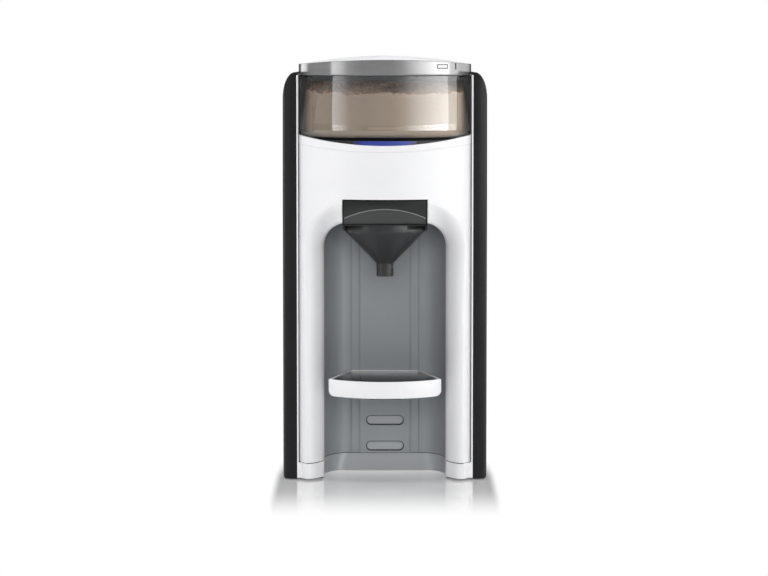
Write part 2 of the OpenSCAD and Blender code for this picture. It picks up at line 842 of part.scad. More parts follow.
module container_base() {
    color("dimgray") difference() {
        union() {
            on_axis(tub_z - 4) cylinder(r = collar_bore - 1.5, h = 4);
            on_axis(foot_z) tube(collar_bore - 1.5, collar_bore - 9, tub_z - foot_z - 1);
            on_axis(foot_z) cylinder(r = 13.5, h = tub_z - foot_z - 1);
            translate([0, funnel_y, foot_z]) cylinder(r = outlet_r + 2, h = tub_z - foot_z - 1);
        }
        on_axis(0) cylinder(r = 10 + run, h = far);
        translate([0, funnel_y, 0]) cylinder(r = outlet_r, h = far);
    }
}

module powder_container() {
    in_r = tub_r - tub_wall;
    floor_r = wheel_r + 2;
    color([0.7, 0.72, 0.75, 0.4]) on_axis(0) rotate_extrude() polygon(concat(
        [[floor_r, tub_z]],
        tub_edge(0), [[tub_r, tub_top], [in_r, tub_top]],
        [for (i = [9:-1:0]) tub_edge(-tub_wall)[i]],
        [[floor_r, tub_z + tub_wall]]));
}

module dosing_wheel() {
    color("royalblue") difference() {
        on_axis(0) {
            translate([0, 0, wheel_z]) cylinder(r = wheel_r, h = wheel_t);
            translate([0, 0, foot_z + 1]) cylinder(r = 7.6 - run, h = wheel_z - foot_z);
        }
        on_axis(0) for (k = [0:pockets - 1]) rotate([0, 0, 360 * k / pockets - 90])
            translate([outlet_offset, 0, 0]) cylinder(r = pocket_r, h = far);
        translate([-dog / 2 - fit, axis_y - dog / 2 - fit, 0])
            cube([dog + 2 * fit, dog + 2 * fit, wheel_z + 6.5]);
    }
}

module powder_gate() {
    gate_z = wheel_z + wheel_t + fit;
    color("gainsboro") intersection() {
        on_axis(gate_z) tube(tub_r - tub_wall - run, 20, 2.2);
        block([-16, -far, 0], [16, axis_y, far]);
    }
}

module stirrer() {
    hub_z = wheel_z + wheel_t;
    arm_z = hub_z + 9;
    reach = tub_r - 12;
    color("gainsboro") on_axis(0) {
        translate([0, 0, hub_z]) cylinder(r = 9, h = 16);
        for (a = [30, 150, 270]) rotate([0, 0, a]) {
            translate([0, 0, arm_z]) rotate([0, 90, 0]) cylinder(r = 2.2, h = reach);
            for (r = [reach / 2 + 8, reach - 3])
                translate([r, 0, arm_z]) cylinder(r = 1.8, h = 22);
        }
    }
}

// ---- lid ----

module lid_gasket() {
    color("whitesmoke") on_axis(tub_top) tube(lid_r - trim_t - fit, tub_r - 2.2, 1.3);
}

module lid_cap() {
    plug_r = tub_r - tub_wall - fit;
    cap_r = lid_r - trim_t - run;
    flange = tub_top + 1.4;
    dome_r = roll_r(cap_r, lid_dome);
    color("white") on_axis(0) rotate_extrude() polygon(concat(
        [[plug_r - 2, tub_top - 5.5], [plug_r, tub_top - 5.5], [plug_r, flange],
            [cap_r, flange]],
        [for (r = [cap_r:-cap_r / 10:0]) [r, lid_top + lid_dome - dome_r
            + sqrt(pow(dome_r, 2) - pow(r, 2))]],
        [[0, lid_top - 2.4], [plug_r - 2, lid_top - 2.4]]));
}

module lid_trim() {
    color("silver") intersection() {
        on_axis(lid_z) tube(lid_r, lid_r - trim_t, lid_band_h + lid_crown);
        crown_roll(lid_top + lid_crown, roll_r(lid_r, lid_crown));
    }
}

// ---- mixing funnel ----

module mixing_funnel() {
    w = funnel_wall;
    rim_low = flange_z - 9.5;
    end_z = flange_z + flange_t - funnel_h;
    cone_low = end_z + 15;
    color([0.35, 0.35, 0.37]) {
        translate([0, funnel_y, 0]) rotate_extrude() polygon([[spout_r, end_z],
            [spout_r, cone_low], [funnel_r, rim_low], [funnel_r, flange_z + flange_t],
            [funnel_r - w, flange_z + flange_t], [funnel_r - w, rim_low + 0.6],
            [spout_r - w, cone_low + 0.6], [spout_r - w, end_z]]);
        difference() {
            union() {
                block([-hood_half_w, hood_front_y, flange_z],
                    [hood_half_w, hood_back_y, flange_z + flange_t]);
                for (s = [0, 1]) mirror([s, 0, 0])
                    block([hood_half_w - 1.6, hood_front_y, flange_z - 5],
                        [hood_half_w, hood_back_y, flange_z + 1]);
            }
            translate([0, funnel_y, 0]) cylinder(r = funnel_r - w / 2, h = far);
        }
    }
}

module funnel_hood() {
    low = flange_z + flange_t;
    t = 1.6;
    arc_top = hood_top - 9;
    sag = 8.5;
    half = hood_half_w - t;
    arc_r = (pow(half, 2) + pow(sag, 2)) / (2 * sag);
    color([0.2, 0.2, 0.21]) difference() {
        block([-hood_half_w, hood_front_y, low], [hood_half_w, hood_back_y, hood_top]);
        block([-half, hood_front_y + t, low - 1], [half, hood_back_y - t, hood_top - t]);
        intersection() {
            translate([0, hood_front_y + t + 1, arc_top - arc_r]) rotate([90, 0, 0])
                cylinder(r = arc_r, h = t + 2, $fn = 360);
            block([-half, -far, low - 1], [half, far, arc_top + 1]);
        }
        translate([0, funnel_y, 0]) cylinder(r = outlet_r + 6, h = far);
    }
}

// ---- tray ----

module tray_plan(inset) {
    intersection() {
        translate([0, tray_mid_y]) circle(tray_front_r - inset);
        polygon([[-bay_half_w - 2 + inset, front_y], [bay_half_w + 2 - inset, front_y],
            [tray_back_half_w - inset, tray_back_y - inset],
            [-tray_back_half_w + inset, tray_back_y - inset]]);
    }
}

module tray_body() {
    hook_z = slot_top_z - 3;
    hook_half_w = slot_size[0] / 2 - 3;
    color("white") {
        difference() {
            translate([0, 0, tray_z - lip_h]) linear_extrude(lip_h) tray_plan(0);
            translate([0, 0, tray_z - lip_h - 1]) linear_extrude(lip_h - 3.5) tray_plan(3);
            translate([0, 0, tray_z - 1.6]) linear_extrude(10) tray_plan(2.5);
        }
        block([-hook_half_w, tray_back_y - 3, hook_z], [hook_half_w, tray_back_y, tray_z - 4]);
        block([-hook_half_w, tray_back_y - 3, hook_z], [hook_half_w, tray_back_y + 7, hook_z + 5]);
    }
}

module tray_plate() {
    color("black") translate([0, 0, tray_z - 1.6]) linear_extrude(1.3) tray_plan(2.5 + run);
}

// ---- water tank ----

module tank_plan(inset) {
    intersection() {
        slab([-tank_half_w + inset, tank_front_y - 30], [tank_half_w - inset,
            back_y - 0.5 - inset], tank_corner_r - inset);
        translate([-far, tank_front_y + 1.5 + inset]) square([2 * far, far]);
    }
}

module water_tank() {
    color([0.62, 0.66, 0.7, 0.5]) difference() {
        union() {
            difference() {
                union() {
                    translate([0, 0, tank_z]) linear_extrude(tank_top - tank_z) tank_plan(0);
                    translate([0, tank_y, pedestal_top - 9]) cylinder(r = stub_r, h = 14);
                }
                translate([0, 0, tank_z + tank_wall]) linear_extrude(far) tank_plan(tank_wall);
            }
            translate([0, 0, tank_top - 3]) linear_extrude(3) intersection() {
                tank_plan(0);
                translate([-far, hinge_y - 3]) square([2 * far, far]);
            }
            for (e = ears) {
                along_x(e[0], e[1]) translate([hinge_y, hinge_z]) circle(2.6);
                block([e[0], hinge_y - 2.6, tank_top - 1], [e[1], hinge_y + 2.6, hinge_z]);
            }
        }
        along_x(-32, 32) translate([hinge_y, hinge_z]) circle(pin_r + run);
        translate([0, tank_y, pedestal_top - 2]) cylinder(r = 4.6, h = 20);
        translate([0, tank_y, pedestal_top - 10]) cylinder(r = 6.5, h = 6.5);
        translate([0, tank_y, pedestal_top - 10]) cylinder(r = 1.6 + run, h = 20);
        for (a = [0:120:240]) translate([3 * cos(a), tank_y + 3 * sin(a), pedestal_top - 10])
            cylinder(r = 1, h = 20);
    }
}

module tank_o_ring() {
    color("black") translate([0, tank_y, pedestal_top - 6])
        rotate_extrude() translate([stub_r + 0.5, 0]) circle(0.45, $fn = 24);
}

module tank_valve() {
    color("ivory") translate([0, tank_y, 0]) {
        translate([0, 0, tank_z + tank_wall + 0.1]) cylinder(r = 7, h = 2);
        translate([0, 0, pedestal_top - 10.6]) cylinder(r = 1.6,
            h = tank_z + tank_wall + 1 - pedestal_top + 10.6);
        translate([0, 0, pedestal_top - 10.6]) cylinder(r = 5.4, h = 1.2);
    }
}

module valve_spring() {
    low = pedestal_top - 9.3;
    high = pedestal_top - 3.6;
    color("silver") translate([0, tank_y, low]) tube(4, 3.2, high - low);
}

module tank_lid() {
    low = tank_top + fit;
    color([0.3, 0.3, 0.32]) {
        difference() {
            union() {
                translate([0, 0, low]) linear_extrude(4) difference() {
                    tank_plan(0);
                    translate([-far, hinge_y - 3.4]) square([2 * far, far]);
                }
                translate([0, 0, low - 4]) linear_extrude(5) difference() {
                    tank_plan(tank_wall + fit);
                    tank_plan(tank_wall + fit + 2);
                    translate([-far, hinge_y - 3.4]) square([2 * far, far]);
                }
                block([-21.7, hinge_y - 4, low + 0.4], [21.7, hinge_y, low + 4]);
                along_x(-21.7, 21.7) translate([hinge_y, hinge_z]) circle(2.6);
            }
            translate([0, tank_y - 6, low + 1.2]) linear_extrude(10) pill(70, 22);
        }
        along_x(-28.5, 28.5) translate([hinge_y, hinge_z]) circle(pin_r);
        translate([0, tank_y - 6, low + 1]) translate([-31, -3, 0]) cube([62, 6, 3]);
    }
}

base_tray();
bay_sill();
front_shell();
bay_liner();
funnel_bay();
funnel_rails();
collar_ring();
light_bar();
container_seat();
mid_housing();
rear_housing();
side_panel_left();
side_panel_right();
control_fascia();
display_module();
for (i = [0:5])
    button(i);
chassis_plate();
gear_motor();
motor_pinion();
idler_pin();
idler_gear();
spindle_bush();
drive_spindle();
spindle_gear();
powder_chute();
nozzle_ring();
nozzle_hose();
heater();
heater_hose();
pump();
inlet_hose();
tank_socket();
main_board();
power_board();
cord_gland();
rubber_feet();
base_screws();
wheel_bush();
container_base();
powder_container();
powder_gate();
dosing_wheel();
stirrer();
lid_gasket();
lid_cap();
lid_trim();
mixing_funnel();
funnel_hood();
tray_body();
tray_plate();
water_tank();
tank_o_ring();
tank_valve();
valve_spring();
tank_lid();
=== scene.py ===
from math import acos, asin, atan2, copysign, cos, hypot, pi, radians, sin, sqrt, tan
import bpy
import bmesh
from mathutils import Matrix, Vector, noise


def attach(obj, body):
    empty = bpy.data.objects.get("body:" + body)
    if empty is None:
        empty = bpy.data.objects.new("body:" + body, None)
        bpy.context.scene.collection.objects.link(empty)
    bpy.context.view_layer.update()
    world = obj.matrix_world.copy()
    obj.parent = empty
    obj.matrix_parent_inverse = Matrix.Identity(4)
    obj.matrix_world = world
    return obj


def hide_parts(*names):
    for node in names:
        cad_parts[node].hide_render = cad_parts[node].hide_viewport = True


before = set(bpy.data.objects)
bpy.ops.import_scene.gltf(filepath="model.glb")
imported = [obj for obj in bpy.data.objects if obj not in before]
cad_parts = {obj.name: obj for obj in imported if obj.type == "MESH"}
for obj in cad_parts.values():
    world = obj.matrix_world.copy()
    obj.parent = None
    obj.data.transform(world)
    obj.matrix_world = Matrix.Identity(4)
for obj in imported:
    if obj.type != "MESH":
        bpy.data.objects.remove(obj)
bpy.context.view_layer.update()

mm = 0.001
rightAngle = pi / 2


# A dictionary whose entries also read as names; its sizes are in millimetres unless noted
class Settings(dict):
    __getattr__ = dict.__getitem__


# The CAD sizes that the new pieces repeat; funnelR and spoutR follow the photo instead
cad = Settings(
    frontY=-160.0, axisY=-75.5, noseR=84.5, seamZ=17.0,
    bayHalf=60.5, bayTop=253.5, archR=27.0, bayCornerR=24.8, bayBackY=-40.0,
    notchHalf=41.0, notchTop=275.0, shellLow=320.2, dip=7.2,
    slotZs=(75.5, 49.8, 24.1), slotSize=(37.0, 9.2),
    tubZ=331.0, tubTop=393.0, tubR=83.0, tubWall=2.4, tubEdgeR=10.0, wheelR=60.0,
    lidZ=393.3, lidTop=403.8, lidR=84.1, lidCrown=4.0, lidDome=8.0,
    funnelY=-111.0, funnelR=38.5, spoutR=8.3, flangeZ=250.0, flange=2.0, funnelEnd=199.0,
    hoodTop=274.5, hoodHalf=40.4, hoodFrontY=-150.47, hoodBackY=-66.3,
)
archLow = cad.bayTop - cad.archR
archSide = cad.bayHalf - cad.archR


# Radius of an arc that drops by this much over half its chord
def rollR(half, drop):
    return (half * half + drop * drop) / (2 * drop)


def smoothStep(x, low, high):
    t = min(1.0, max(0.0, (x - low) / (high - low)))
    return t * t * (3 - 2 * t)


# Angles of a quarter turn in equal steps
def quarter(steps, first=0):
    return [rightAngle * i / steps for i in range(first, steps + 1)]


# Turns each connected patch of faces to look at a point
def turnTo(bm, point):
    left = set(bm.faces)
    while left:
        patch = [left.pop()]
        for face in patch:
            for edge in face.edges:
                for other in edge.link_faces:
                    if other in left:
                        left.remove(other)
                        patch.append(other)
        if sum((point - f.calc_center_median()).dot(f.normal) * f.calc_area()
                for f in patch) < 0:
            bmesh.ops.reverse_faces(bm, faces=patch)


def newObject(name, data):
    obj = bpy.data.objects.new(name, data)
    bpy.context.scene.collection.objects.link(obj)
    return obj


# Puts a bmesh in metres into the scene
def linkMesh(name, bm, material):
    mesh = bpy.data.meshes.new(name)
    bm.to_mesh(mesh)
    bm.free()
    mesh.materials.append(mats[material])
    return newObject(name, mesh)


# Makes an object from a bmesh in millimetres
def addObject(name, bm, material, smooth=40, lookAt=None):
    bmesh.ops.recalc_face_normals(bm, faces=bm.faces)
    if lookAt:
        turnTo(bm, Vector(lookAt))
    limit = radians(smooth)
    for face in bm.faces:
        face.smooth = True
    for edge in bm.edges:
        if len(edge.link_faces) != 2 or edge.calc_face_angle(0) > limit:
            edge.smooth = False
    bmesh.ops.scale(bm, vec=(mm, mm, mm), verts=bm.verts)
    return linkMesh(name, bm, material)


# Gives a sheet its thickness; offset -1 puts all of it behind the sheet
def thicken(obj, thickness, offset=-1, rim=True):
    wall = obj.modifiers.new("wall", "SOLIDIFY")
    wall.thickness, wall.offset, wall.use_rim = thickness * mm, offset, rim


# Quads between rows of vertices; wrap joins the ends of each row
def gridFaces(bm, rows, wrap=False):
    for low, high in zip(rows, rows[1:]):
        count = len(low)
        for i in range(count if wrap else count - 1):
            j = (i + 1) % count
            corners = []
            for v in (low[i], low[j], high[j], high[i]):
                if v not in corners:
                    corners.append(v)
            if len(corners) > 2 and not bm.faces.get(corners):
                bm.faces.new(corners)


# Quads between rows of points
def addGrid(bm, rows, wrap=False):
    gridFaces(bm, [[bm.verts.new(point) for point in row] for row in rows], wrap)


# Cuts a mesh at upright planes across one of its directions
def cutAcross(bm, places, along=(1, 0, 0)):
    for place in places:
        bmesh.ops.bisect_plane(bm, geom=bm.verts[:] + bm.edges[:] + bm.faces[:],
            plane_co=Vector(along) * place, plane_no=along, dist=1e-4)


# Turns a closed outline of (radius, height) round a vertical axis
def lathe(bm, profile, centre, steps):
    rows = []
    for r, z in profile:
        if r < 1e-6:
            rows.append([bm.verts.new((*centre, z))] * steps)
            continue
        rows.append([bm.verts.new((centre[0] + r * cos(2 * pi * k / steps),
            centre[1] + r * sin(2 * pi * k / steps), z)) for k in range(steps)])
    gridFaces(bm, rows + [rows[0]], wrap=True)


# Rounds the corners of a closed (radius, height) outline
def roundProfile(points, radii, steps):
    out = []
    for i, (point, radius) in enumerate(zip(points, radii)):
        here = Vector(point)
        back = (Vector(points[i - 1]) - here).normalized()
        ahead = (Vector(points[(i + 1) % len(points)]) - here).normalized()
        half = back.angle(ahead) / 2
        reach = radius / tan(half)
        centre = here + (back + ahead).normalized() * radius / sin(half)
        start, end = here + back * reach - centre, here + ahead * reach - centre
        for k in range(steps + 1):
            out.append(tuple(centre + start.slerp(end, k / steps).normalized() * radius))
    return out


# Angles in degrees; weld in metres
softSet = Settings(weld=2e-6, flat=0.6, sharp=30, smooth=35, segments=3)


# A copy of a CAD node's mesh with its sharp edges rounded, in place of the node
def softened(node, name, material, width, reshape=None):
    bm = bmesh.new()
    bm.from_mesh(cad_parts[node].data)
    bmesh.ops.remove_doubles(bm, verts=bm.verts, dist=softSet.weld)
    bmesh.ops.dissolve_limit(bm, angle_limit=radians(softSet.flat), verts=bm.verts,
        edges=bm.edges, use_dissolve_boundaries=False)
    bmesh.ops.scale(bm, vec=(1 / mm,) * 3, verts=bm.verts)
    if reshape:
        reshape(bm)
    sharp = [e for e in bm.edges if len(e.link_faces) == 2
        and e.calc_face_angle(0) > radians(softSet.sharp)]
    bmesh.ops.bevel(bm, geom=sharp, offset=width, offset_type="OFFSET",
        segments=softSet.segments, profile=0.5, affect="EDGES", clamp_overlap=True,
        miter_outer="ARC")
    obj = addObject(name, bm, material, smooth=softSet.smooth)
    obj.data.validate()
    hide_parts(node)
    return obj


# Says which body a piece rides on, and the nodes that it stands for; the slot is not used
def finish(obj, body, slot, *nodes):
    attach(obj, body)
    if nodes:
        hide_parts(*nodes)


# Gives the faces for which the test holds a further material
def paintFaces(obj, material, test):
    obj.data.materials.append(mats[material])
    for face in obj.data.polygons:
        if test(face):
            face.material_index = len(obj.data.materials) - 1


mats = {}
noiseSpan = (0.3, 0.7)
reliefDepth = 0.0004


# Adds a shader node with values for its inputs, and its own settings by name
def addNode(tree, kind, inputs={}, **settings):
    node = tree.nodes.new("ShaderNode" + kind)
    for key, value in settings.items():
        setattr(node, key, value)
    for key, value in inputs.items():
        node.inputs[key].default_value = value
    return node


# Links an output of one shader node to an input of another
def join(source, output, target, socket):
    source.id_data.links.new(source.outputs[output], target.inputs[socket])


def newMaterial(name):
    material = bpy.data.materials.new(name)
    material.use_nodes = True
    mats[name] = material
    return material.node_tree


# Principled material: cloudy colour and roughness, and a fine grain in its bump
def surface(name, base, rough, vary=0.04, scale=25, grain=900, bump=0.03, roughSpread=0.04,
        stretch=(1, 1, 1), shine=0.5, clear=0.0, metal=0.0, ior=1.5):
    tree = newMaterial(name)
    shader = tree.nodes["Principled BSDF"]
    mapping = addNode(tree, "Mapping", {"Scale": stretch})
    join(addNode(tree, "TexCoord"), "Object", mapping, "Vector")
    cloud = addNode(tree, "TexNoise", {"Scale": scale, "Detail": 4})
    join(mapping, "Vector", cloud, "Vector")
    ramp = addNode(tree, "ValToRGB")
    for stop, place, change in zip(ramp.color_ramp.elements, noiseSpan, (-vary, vary)):
        stop.position = place
        stop.color = [min(1, c * (1 + change)) for c in base] + [1]
    join(cloud, "Fac", ramp, "Fac")
    join(ramp, "Color", shader, "Base Color")
    spread = addNode(tree, "MapRange", {"From Min": noiseSpan[0], "From Max": noiseSpan[1],
        "To Min": max(0.0, rough - roughSpread), "To Max": rough + roughSpread})
    join(cloud, "Fac", spread, "Value")
    join(spread, "Result", shader, "Roughness")
    fine = addNode(tree, "TexNoise", {"Scale": grain, "Detail": 3})
    join(mapping, "Vector", fine, "Vector")
    relief = addNode(tree, "Bump", {"Strength": bump, "Distance": reliefDepth})
    join(fine, "Fac", relief, "Height")
    join(relief, "Normal", shader, "Normal")
    for socket, value in (("Specular IOR Level", shine), ("Transmission Weight", clear),
            ("Metallic", metal), ("IOR", ior)):
        shader.inputs[socket].default_value = value
    return tree


surface("whitePlastic", (0.82, 0.82, 0.83), 0.4, vary=0.012, grain=350, bump=0.012, shine=0.08)
surface("greyPlastic", (0.28, 0.3, 0.314), 0.42, vary=0.03, grain=1600, bump=0.06)
# A lighter copy of the bay's grey for its foot: painted light, for the light that the floor throws
# on it
surface("sillPaintedLight", (0.4, 0.415, 0.43), 0.36, vary=0.03, grain=1600, bump=0.05)
# Black for marks and edging; on the band behind the seam it is painted shade
surface("edgeBlack", (0.004, 0.004, 0.004), 0.5, vary=0.2, bump=0.05, shine=0.1)
# Painted shade and light: a dark and a lighter copy of the bay's grey, for the slots' walls and
# floors
surface("slotShade", (0.07, 0.075, 0.08), 0.5, vary=0.05, grain=1600, bump=0.05)
surface("slotPaintedLight", (0.42, 0.44, 0.455), 0.42, vary=0.03, grain=1600, bump=0.06)
surface("darkPlastic", (0.03, 0.031, 0.033), 0.45, vary=0.1, grain=1400, bump=0.08, shine=0.12)
surface("blackPanel", (0.019, 0.019, 0.02), 0.36, vary=0.08, grain=1500, bump=0.08, shine=0.03)
surface("blackGloss", (0.012, 0.012, 0.013), 0.08, vary=0.2, bump=0.01, roughSpread=0.02,
    shine=0.08)
surface("buttonGrey", (0.52, 0.53, 0.55), 0.34, vary=0.03, grain=1300, bump=0.07)
surface("smokeFunnel", (0.035, 0.037, 0.038), 0.3, vary=0.06, bump=0.02, roughSpread=0.03,
    clear=0.25, shine=0.2)
surface("smokeHood", (0.012, 0.0125, 0.0125), 0.3, vary=0.1, roughSpread=0.03, clear=0.1,
    ior=1.45)
surface("smokePane", (0.05, 0.053, 0.053), 0.4, vary=0.06, roughSpread=0.03, clear=0.2,
    ior=1.45)
# Light grey for the bead on the hood window's upper edge: a painted highlight
surface("paintedHighlightGrey", (0.24, 0.24, 0.24), 0.3, vary=0.05, bump=0.02)
surface("clearTub", (0.9, 0.9, 0.91), 0.015, vary=0.01, bump=0.004, roughSpread=0.01,
    clear=1.0, ior=1.47)
surface("clearTank", (0.55, 0.6, 0.64), 0.06, vary=0.03, bump=0.01, roughSpread=0.02,
    clear=0.95, ior=1.45)
surface("silverTrim", (0.2, 0.2, 0.2), 0.14, scale=40, grain=700, bump=0.01,
    stretch=(1, 1, 8), roughSpread=0.02, metal=0.15, shine=0.7)
surface("bluePlastic", (0.05, 0.16, 0.5), 0.35, vary=0.06, bump=0.05)
surface("tanPlastic", (0.3, 0.24, 0.17), 0.6, vary=0.05, bump=0.1)
surface("palePlastic", (0.66, 0.66, 0.62), 0.42, bump=0.06)
surface("silicone", (0.6, 0.61, 0.6), 0.45, bump=0.05, clear=0.2)
surface("rubber", (0.02, 0.02, 0.02), 0.7, vary=0.2, grain=1800, bump=0.2)
surface("steel", (0.6, 0.6, 0.59), 0.28, vary=0.05, scale=120, grain=1500, bump=0.04,
    stretch=(1, 1, 0.06), metal=1.0)
surface("brass", (0.72, 0.53, 0.24), 0.3, vary=0.06, grain=1200, bump=0.05, metal=1.0)
surface("alloy", (0.5, 0.51, 0.52), 0.45, vary=0.06, grain=1300, bump=0.12, metal=0.9)
surface("board", (0.03, 0.14, 0.06), 0.4, vary=0.25, scale=160, grain=700, bump=0.1)
surface("pumpBody", (0.07, 0.075, 0.085), 0.42, vary=0.1, bump=0.1)
surface("powderCrust", (0.33, 0.235, 0.165), 0.95, vary=0.65, scale=520, grain=1300, bump=1.0,
    shine=0.1)
surface("powder", (0.27, 0.215, 0.16), 0.95, vary=0.05, scale=420, grain=1500, bump=0.6,
    shine=0.12)


# Dark glass with a faint matrix of cells behind it
def displayMaterial():
    tree = surface("displayGlass", (0.008, 0.009, 0.012), 0.05, vary=0.2, bump=0.0)
    cells = addNode(tree, "TexBrick", {"Scale": 420, "Color1": (0.010, 0.012, 0.016, 1),
        "Color2": (0.012, 0.014, 0.018, 1), "Mortar": (0.004, 0.004, 0.006, 1)})
    turn = addNode(tree, "Mapping", {"Rotation": (0, rightAngle, rightAngle)})
    join(addNode(tree, "TexCoord"), "Object", turn, "Vector")
    join(turn, "Vector", cells, "Vector")
    join(cells, "Color", tree.nodes["Principled BSDF"], "Base Color")


# Frosted blue light guide, brightest at its middle; the reach of its fade is in metres
lightSet = Settings(fadeFrom=0.02, fadeTo=0.027, bright=0.26, dim=0.01, glow=(0.045, 0.1, 0.75, 1))


def lightMaterial():
    tree = surface("blueLight", (0.01, 0.015, 0.09), 0.35, vary=0.08, bump=0.05)
    shader = tree.nodes["Principled BSDF"]
    split = addNode(tree, "SeparateXYZ")
    join(addNode(tree, "TexCoord"), "Object", split, "Vector")
    spread = addNode(tree, "Math", operation="ABSOLUTE")
    join(split, "X", spread, 0)
    fade = addNode(tree, "MapRange", {"From Min": lightSet.fadeFrom,
        "From Max": lightSet.fadeTo, "To Min": lightSet.bright, "To Max": lightSet.dim})
    join(spread, "Value", fade, "Value")
    join(fade, "Result", shader, "Emission Strength")
    shader.inputs["Emission Color"].default_value = lightSet.glow


# Lets the lamps' light through clear plastic
def letLight(material):
    tree = mats[material].node_tree
    choose = addNode(tree, "MixShader")
    clear = addNode(tree, "BsdfTransparent", {"Color": (0.86, 0.86, 0.86, 1)})
    join(addNode(tree, "LightPath"), "Is Shadow Ray", choose, "Fac")
    join(tree.nodes["Principled BSDF"], "BSDF", choose, 1)
    join(clear, "BSDF", choose, 2)
    join(choose, "Shader", tree.nodes["Material Output"], "Surface")


letLight("clearTub")
letLight("clearTank")
displayMaterial()
lightMaterial()
print("stage: materials")


# The nose rolls into the bay: deep on the legs up to rollLow, shallow and wide from rollHigh up
nose = Settings(curveR=93.0, halfWidth=83.5, cornerR=12.0, rollWidth=20.0, notchDepth=7.0,
    legWidth=17.5, legDepth=39.0, tipWidth=3.0, tipDepth=6.0, inwards=1.2, lip=0.8,
    thickness=2.6, rollLow=150, rollHigh=236, archNear=35, archFar=60, rollPower=1.4,
    seamGap=0.35, seamEdge=0.45, notchEdge=0.7, notchBelow=6, maxSunk=1.0)
noseMidY = cad.frontY + nose.curveR
cornerX = nose.halfWidth - nose.cornerR
cornerY = noseMidY - sqrt((nose.curveR - nose.cornerR) ** 2 - cornerX ** 2)
curveTurn = atan2(cornerX, noseMidY - cornerY)
curveEnd = nose.curveR * curveTurn
cornerEnd = curveEnd + nose.cornerR * (rightAngle - curveTurn)
sideEnd = cornerEnd + cad.axisY - cornerY
dipR = rollR(cad.noseR, cad.dip)


# Nose seen from above: place and outward direction at a distance from its middle
def noseCurve(u):
    sign, u = copysign(1, u), abs(u)
    if u <= curveEnd:
        turn = u / nose.curveR
        x, y = nose.curveR * sin(turn), noseMidY - nose.curveR * cos(turn)
    else:
        turn = min(rightAngle, curveTurn + (u - curveEnd) / nose.cornerR)
        x = cornerX + nose.cornerR * sin(turn)
        y = cornerY - nose.cornerR * cos(turn) + max(0.0, u - cornerEnd)
    return sign * x, y, sign * sin(turn), -cos(turn)


def noseY(x):
    return noseMidY - sqrt(max(0.0, nose.curveR ** 2 - x * x))


# Distance from the nose's middle along its curve
def arcOf(x):
    return nose.curveR * asin(x / nose.curveR)


# Height of the nose's dipped top edge
def dipZ(x):
    return cad.shellLow + dipR - sqrt(dipR * dipR - x * x)


# Distance outside the bay's arch, seen from the front
def archGap(x, z):
    dx, dz = abs(x) - archSide, z - archLow
    if dz <= 0:
        return abs(x) - cad.bayHalf
    if dx <= 0:
        return z - cad.bayTop
    return hypot(dx, dz) - cad.archR


# Quarter ellipse: how far a surface has sunk at a distance from its rolled edge
def rolledEdge(gap, width, depth):
    if gap >= width:
        return 0.0
    part = 1 - max(gap, 0.0) / width
    return depth * (1 - sqrt(max(0.0, 1 - part * part)))


# Depth of the roll into the bay
def noseRoll(x, z):
    up = smoothStep(z, nose.rollLow, nose.rollHigh)
    width = nose.legWidth + (nose.rollWidth - nose.legWidth) * up
    depth = nose.legDepth
    depth += (nose.notchDepth - depth) * up * (1 - smoothStep(abs(x), nose.archNear,
        nose.archFar))
    gap = max(0.0, archGap(x, z) + nose.inwards)
    return (depth * max(0.0, 1 - gap / width) ** nose.rollPower
        + rolledEdge(gap, nose.tipWidth, nose.tipDepth))


def nosePoint(u, z):
    x, y, outX, outY = noseCurve(u)
    sunk = rolledEdge(dipZ(x) - z, nose.lip, nose.lip)
    sunk += rolledEdge(z - cad.seamZ - nose.seamGap, nose.seamEdge, nose.seamEdge)
    if z > cad.bayTop - nose.notchBelow:
        notchGap = hypot(max(abs(x) - cad.notchHalf, 0), max(z - cad.notchTop, 0))
        sunk += rolledEdge(notchGap, nose.notchEdge, nose.notchEdge)
    sunk = min(sunk, nose.maxSunk)
    return Vector((x - outX * sunk, y - outY * sunk + noseRoll(x, z), z))


# How the nose is divided: heights close to its edges, then counts of rows and columns
noseGrid = Settings(seamSteps=(0.35, 0.39, 0.45, 0.53, 0.64), edgeSteps=(0, 0.03, 0.1, 0.22, 0.4,
    0.62, 0.85), legFrom=0.8, legRows=70, across=44, towardsEdge=1.8, sideRows=26, topRows=40,
    sideShare=0.52, topSqueeze=1.9, bandRows=34, bandColumns=24, weld=0.004)


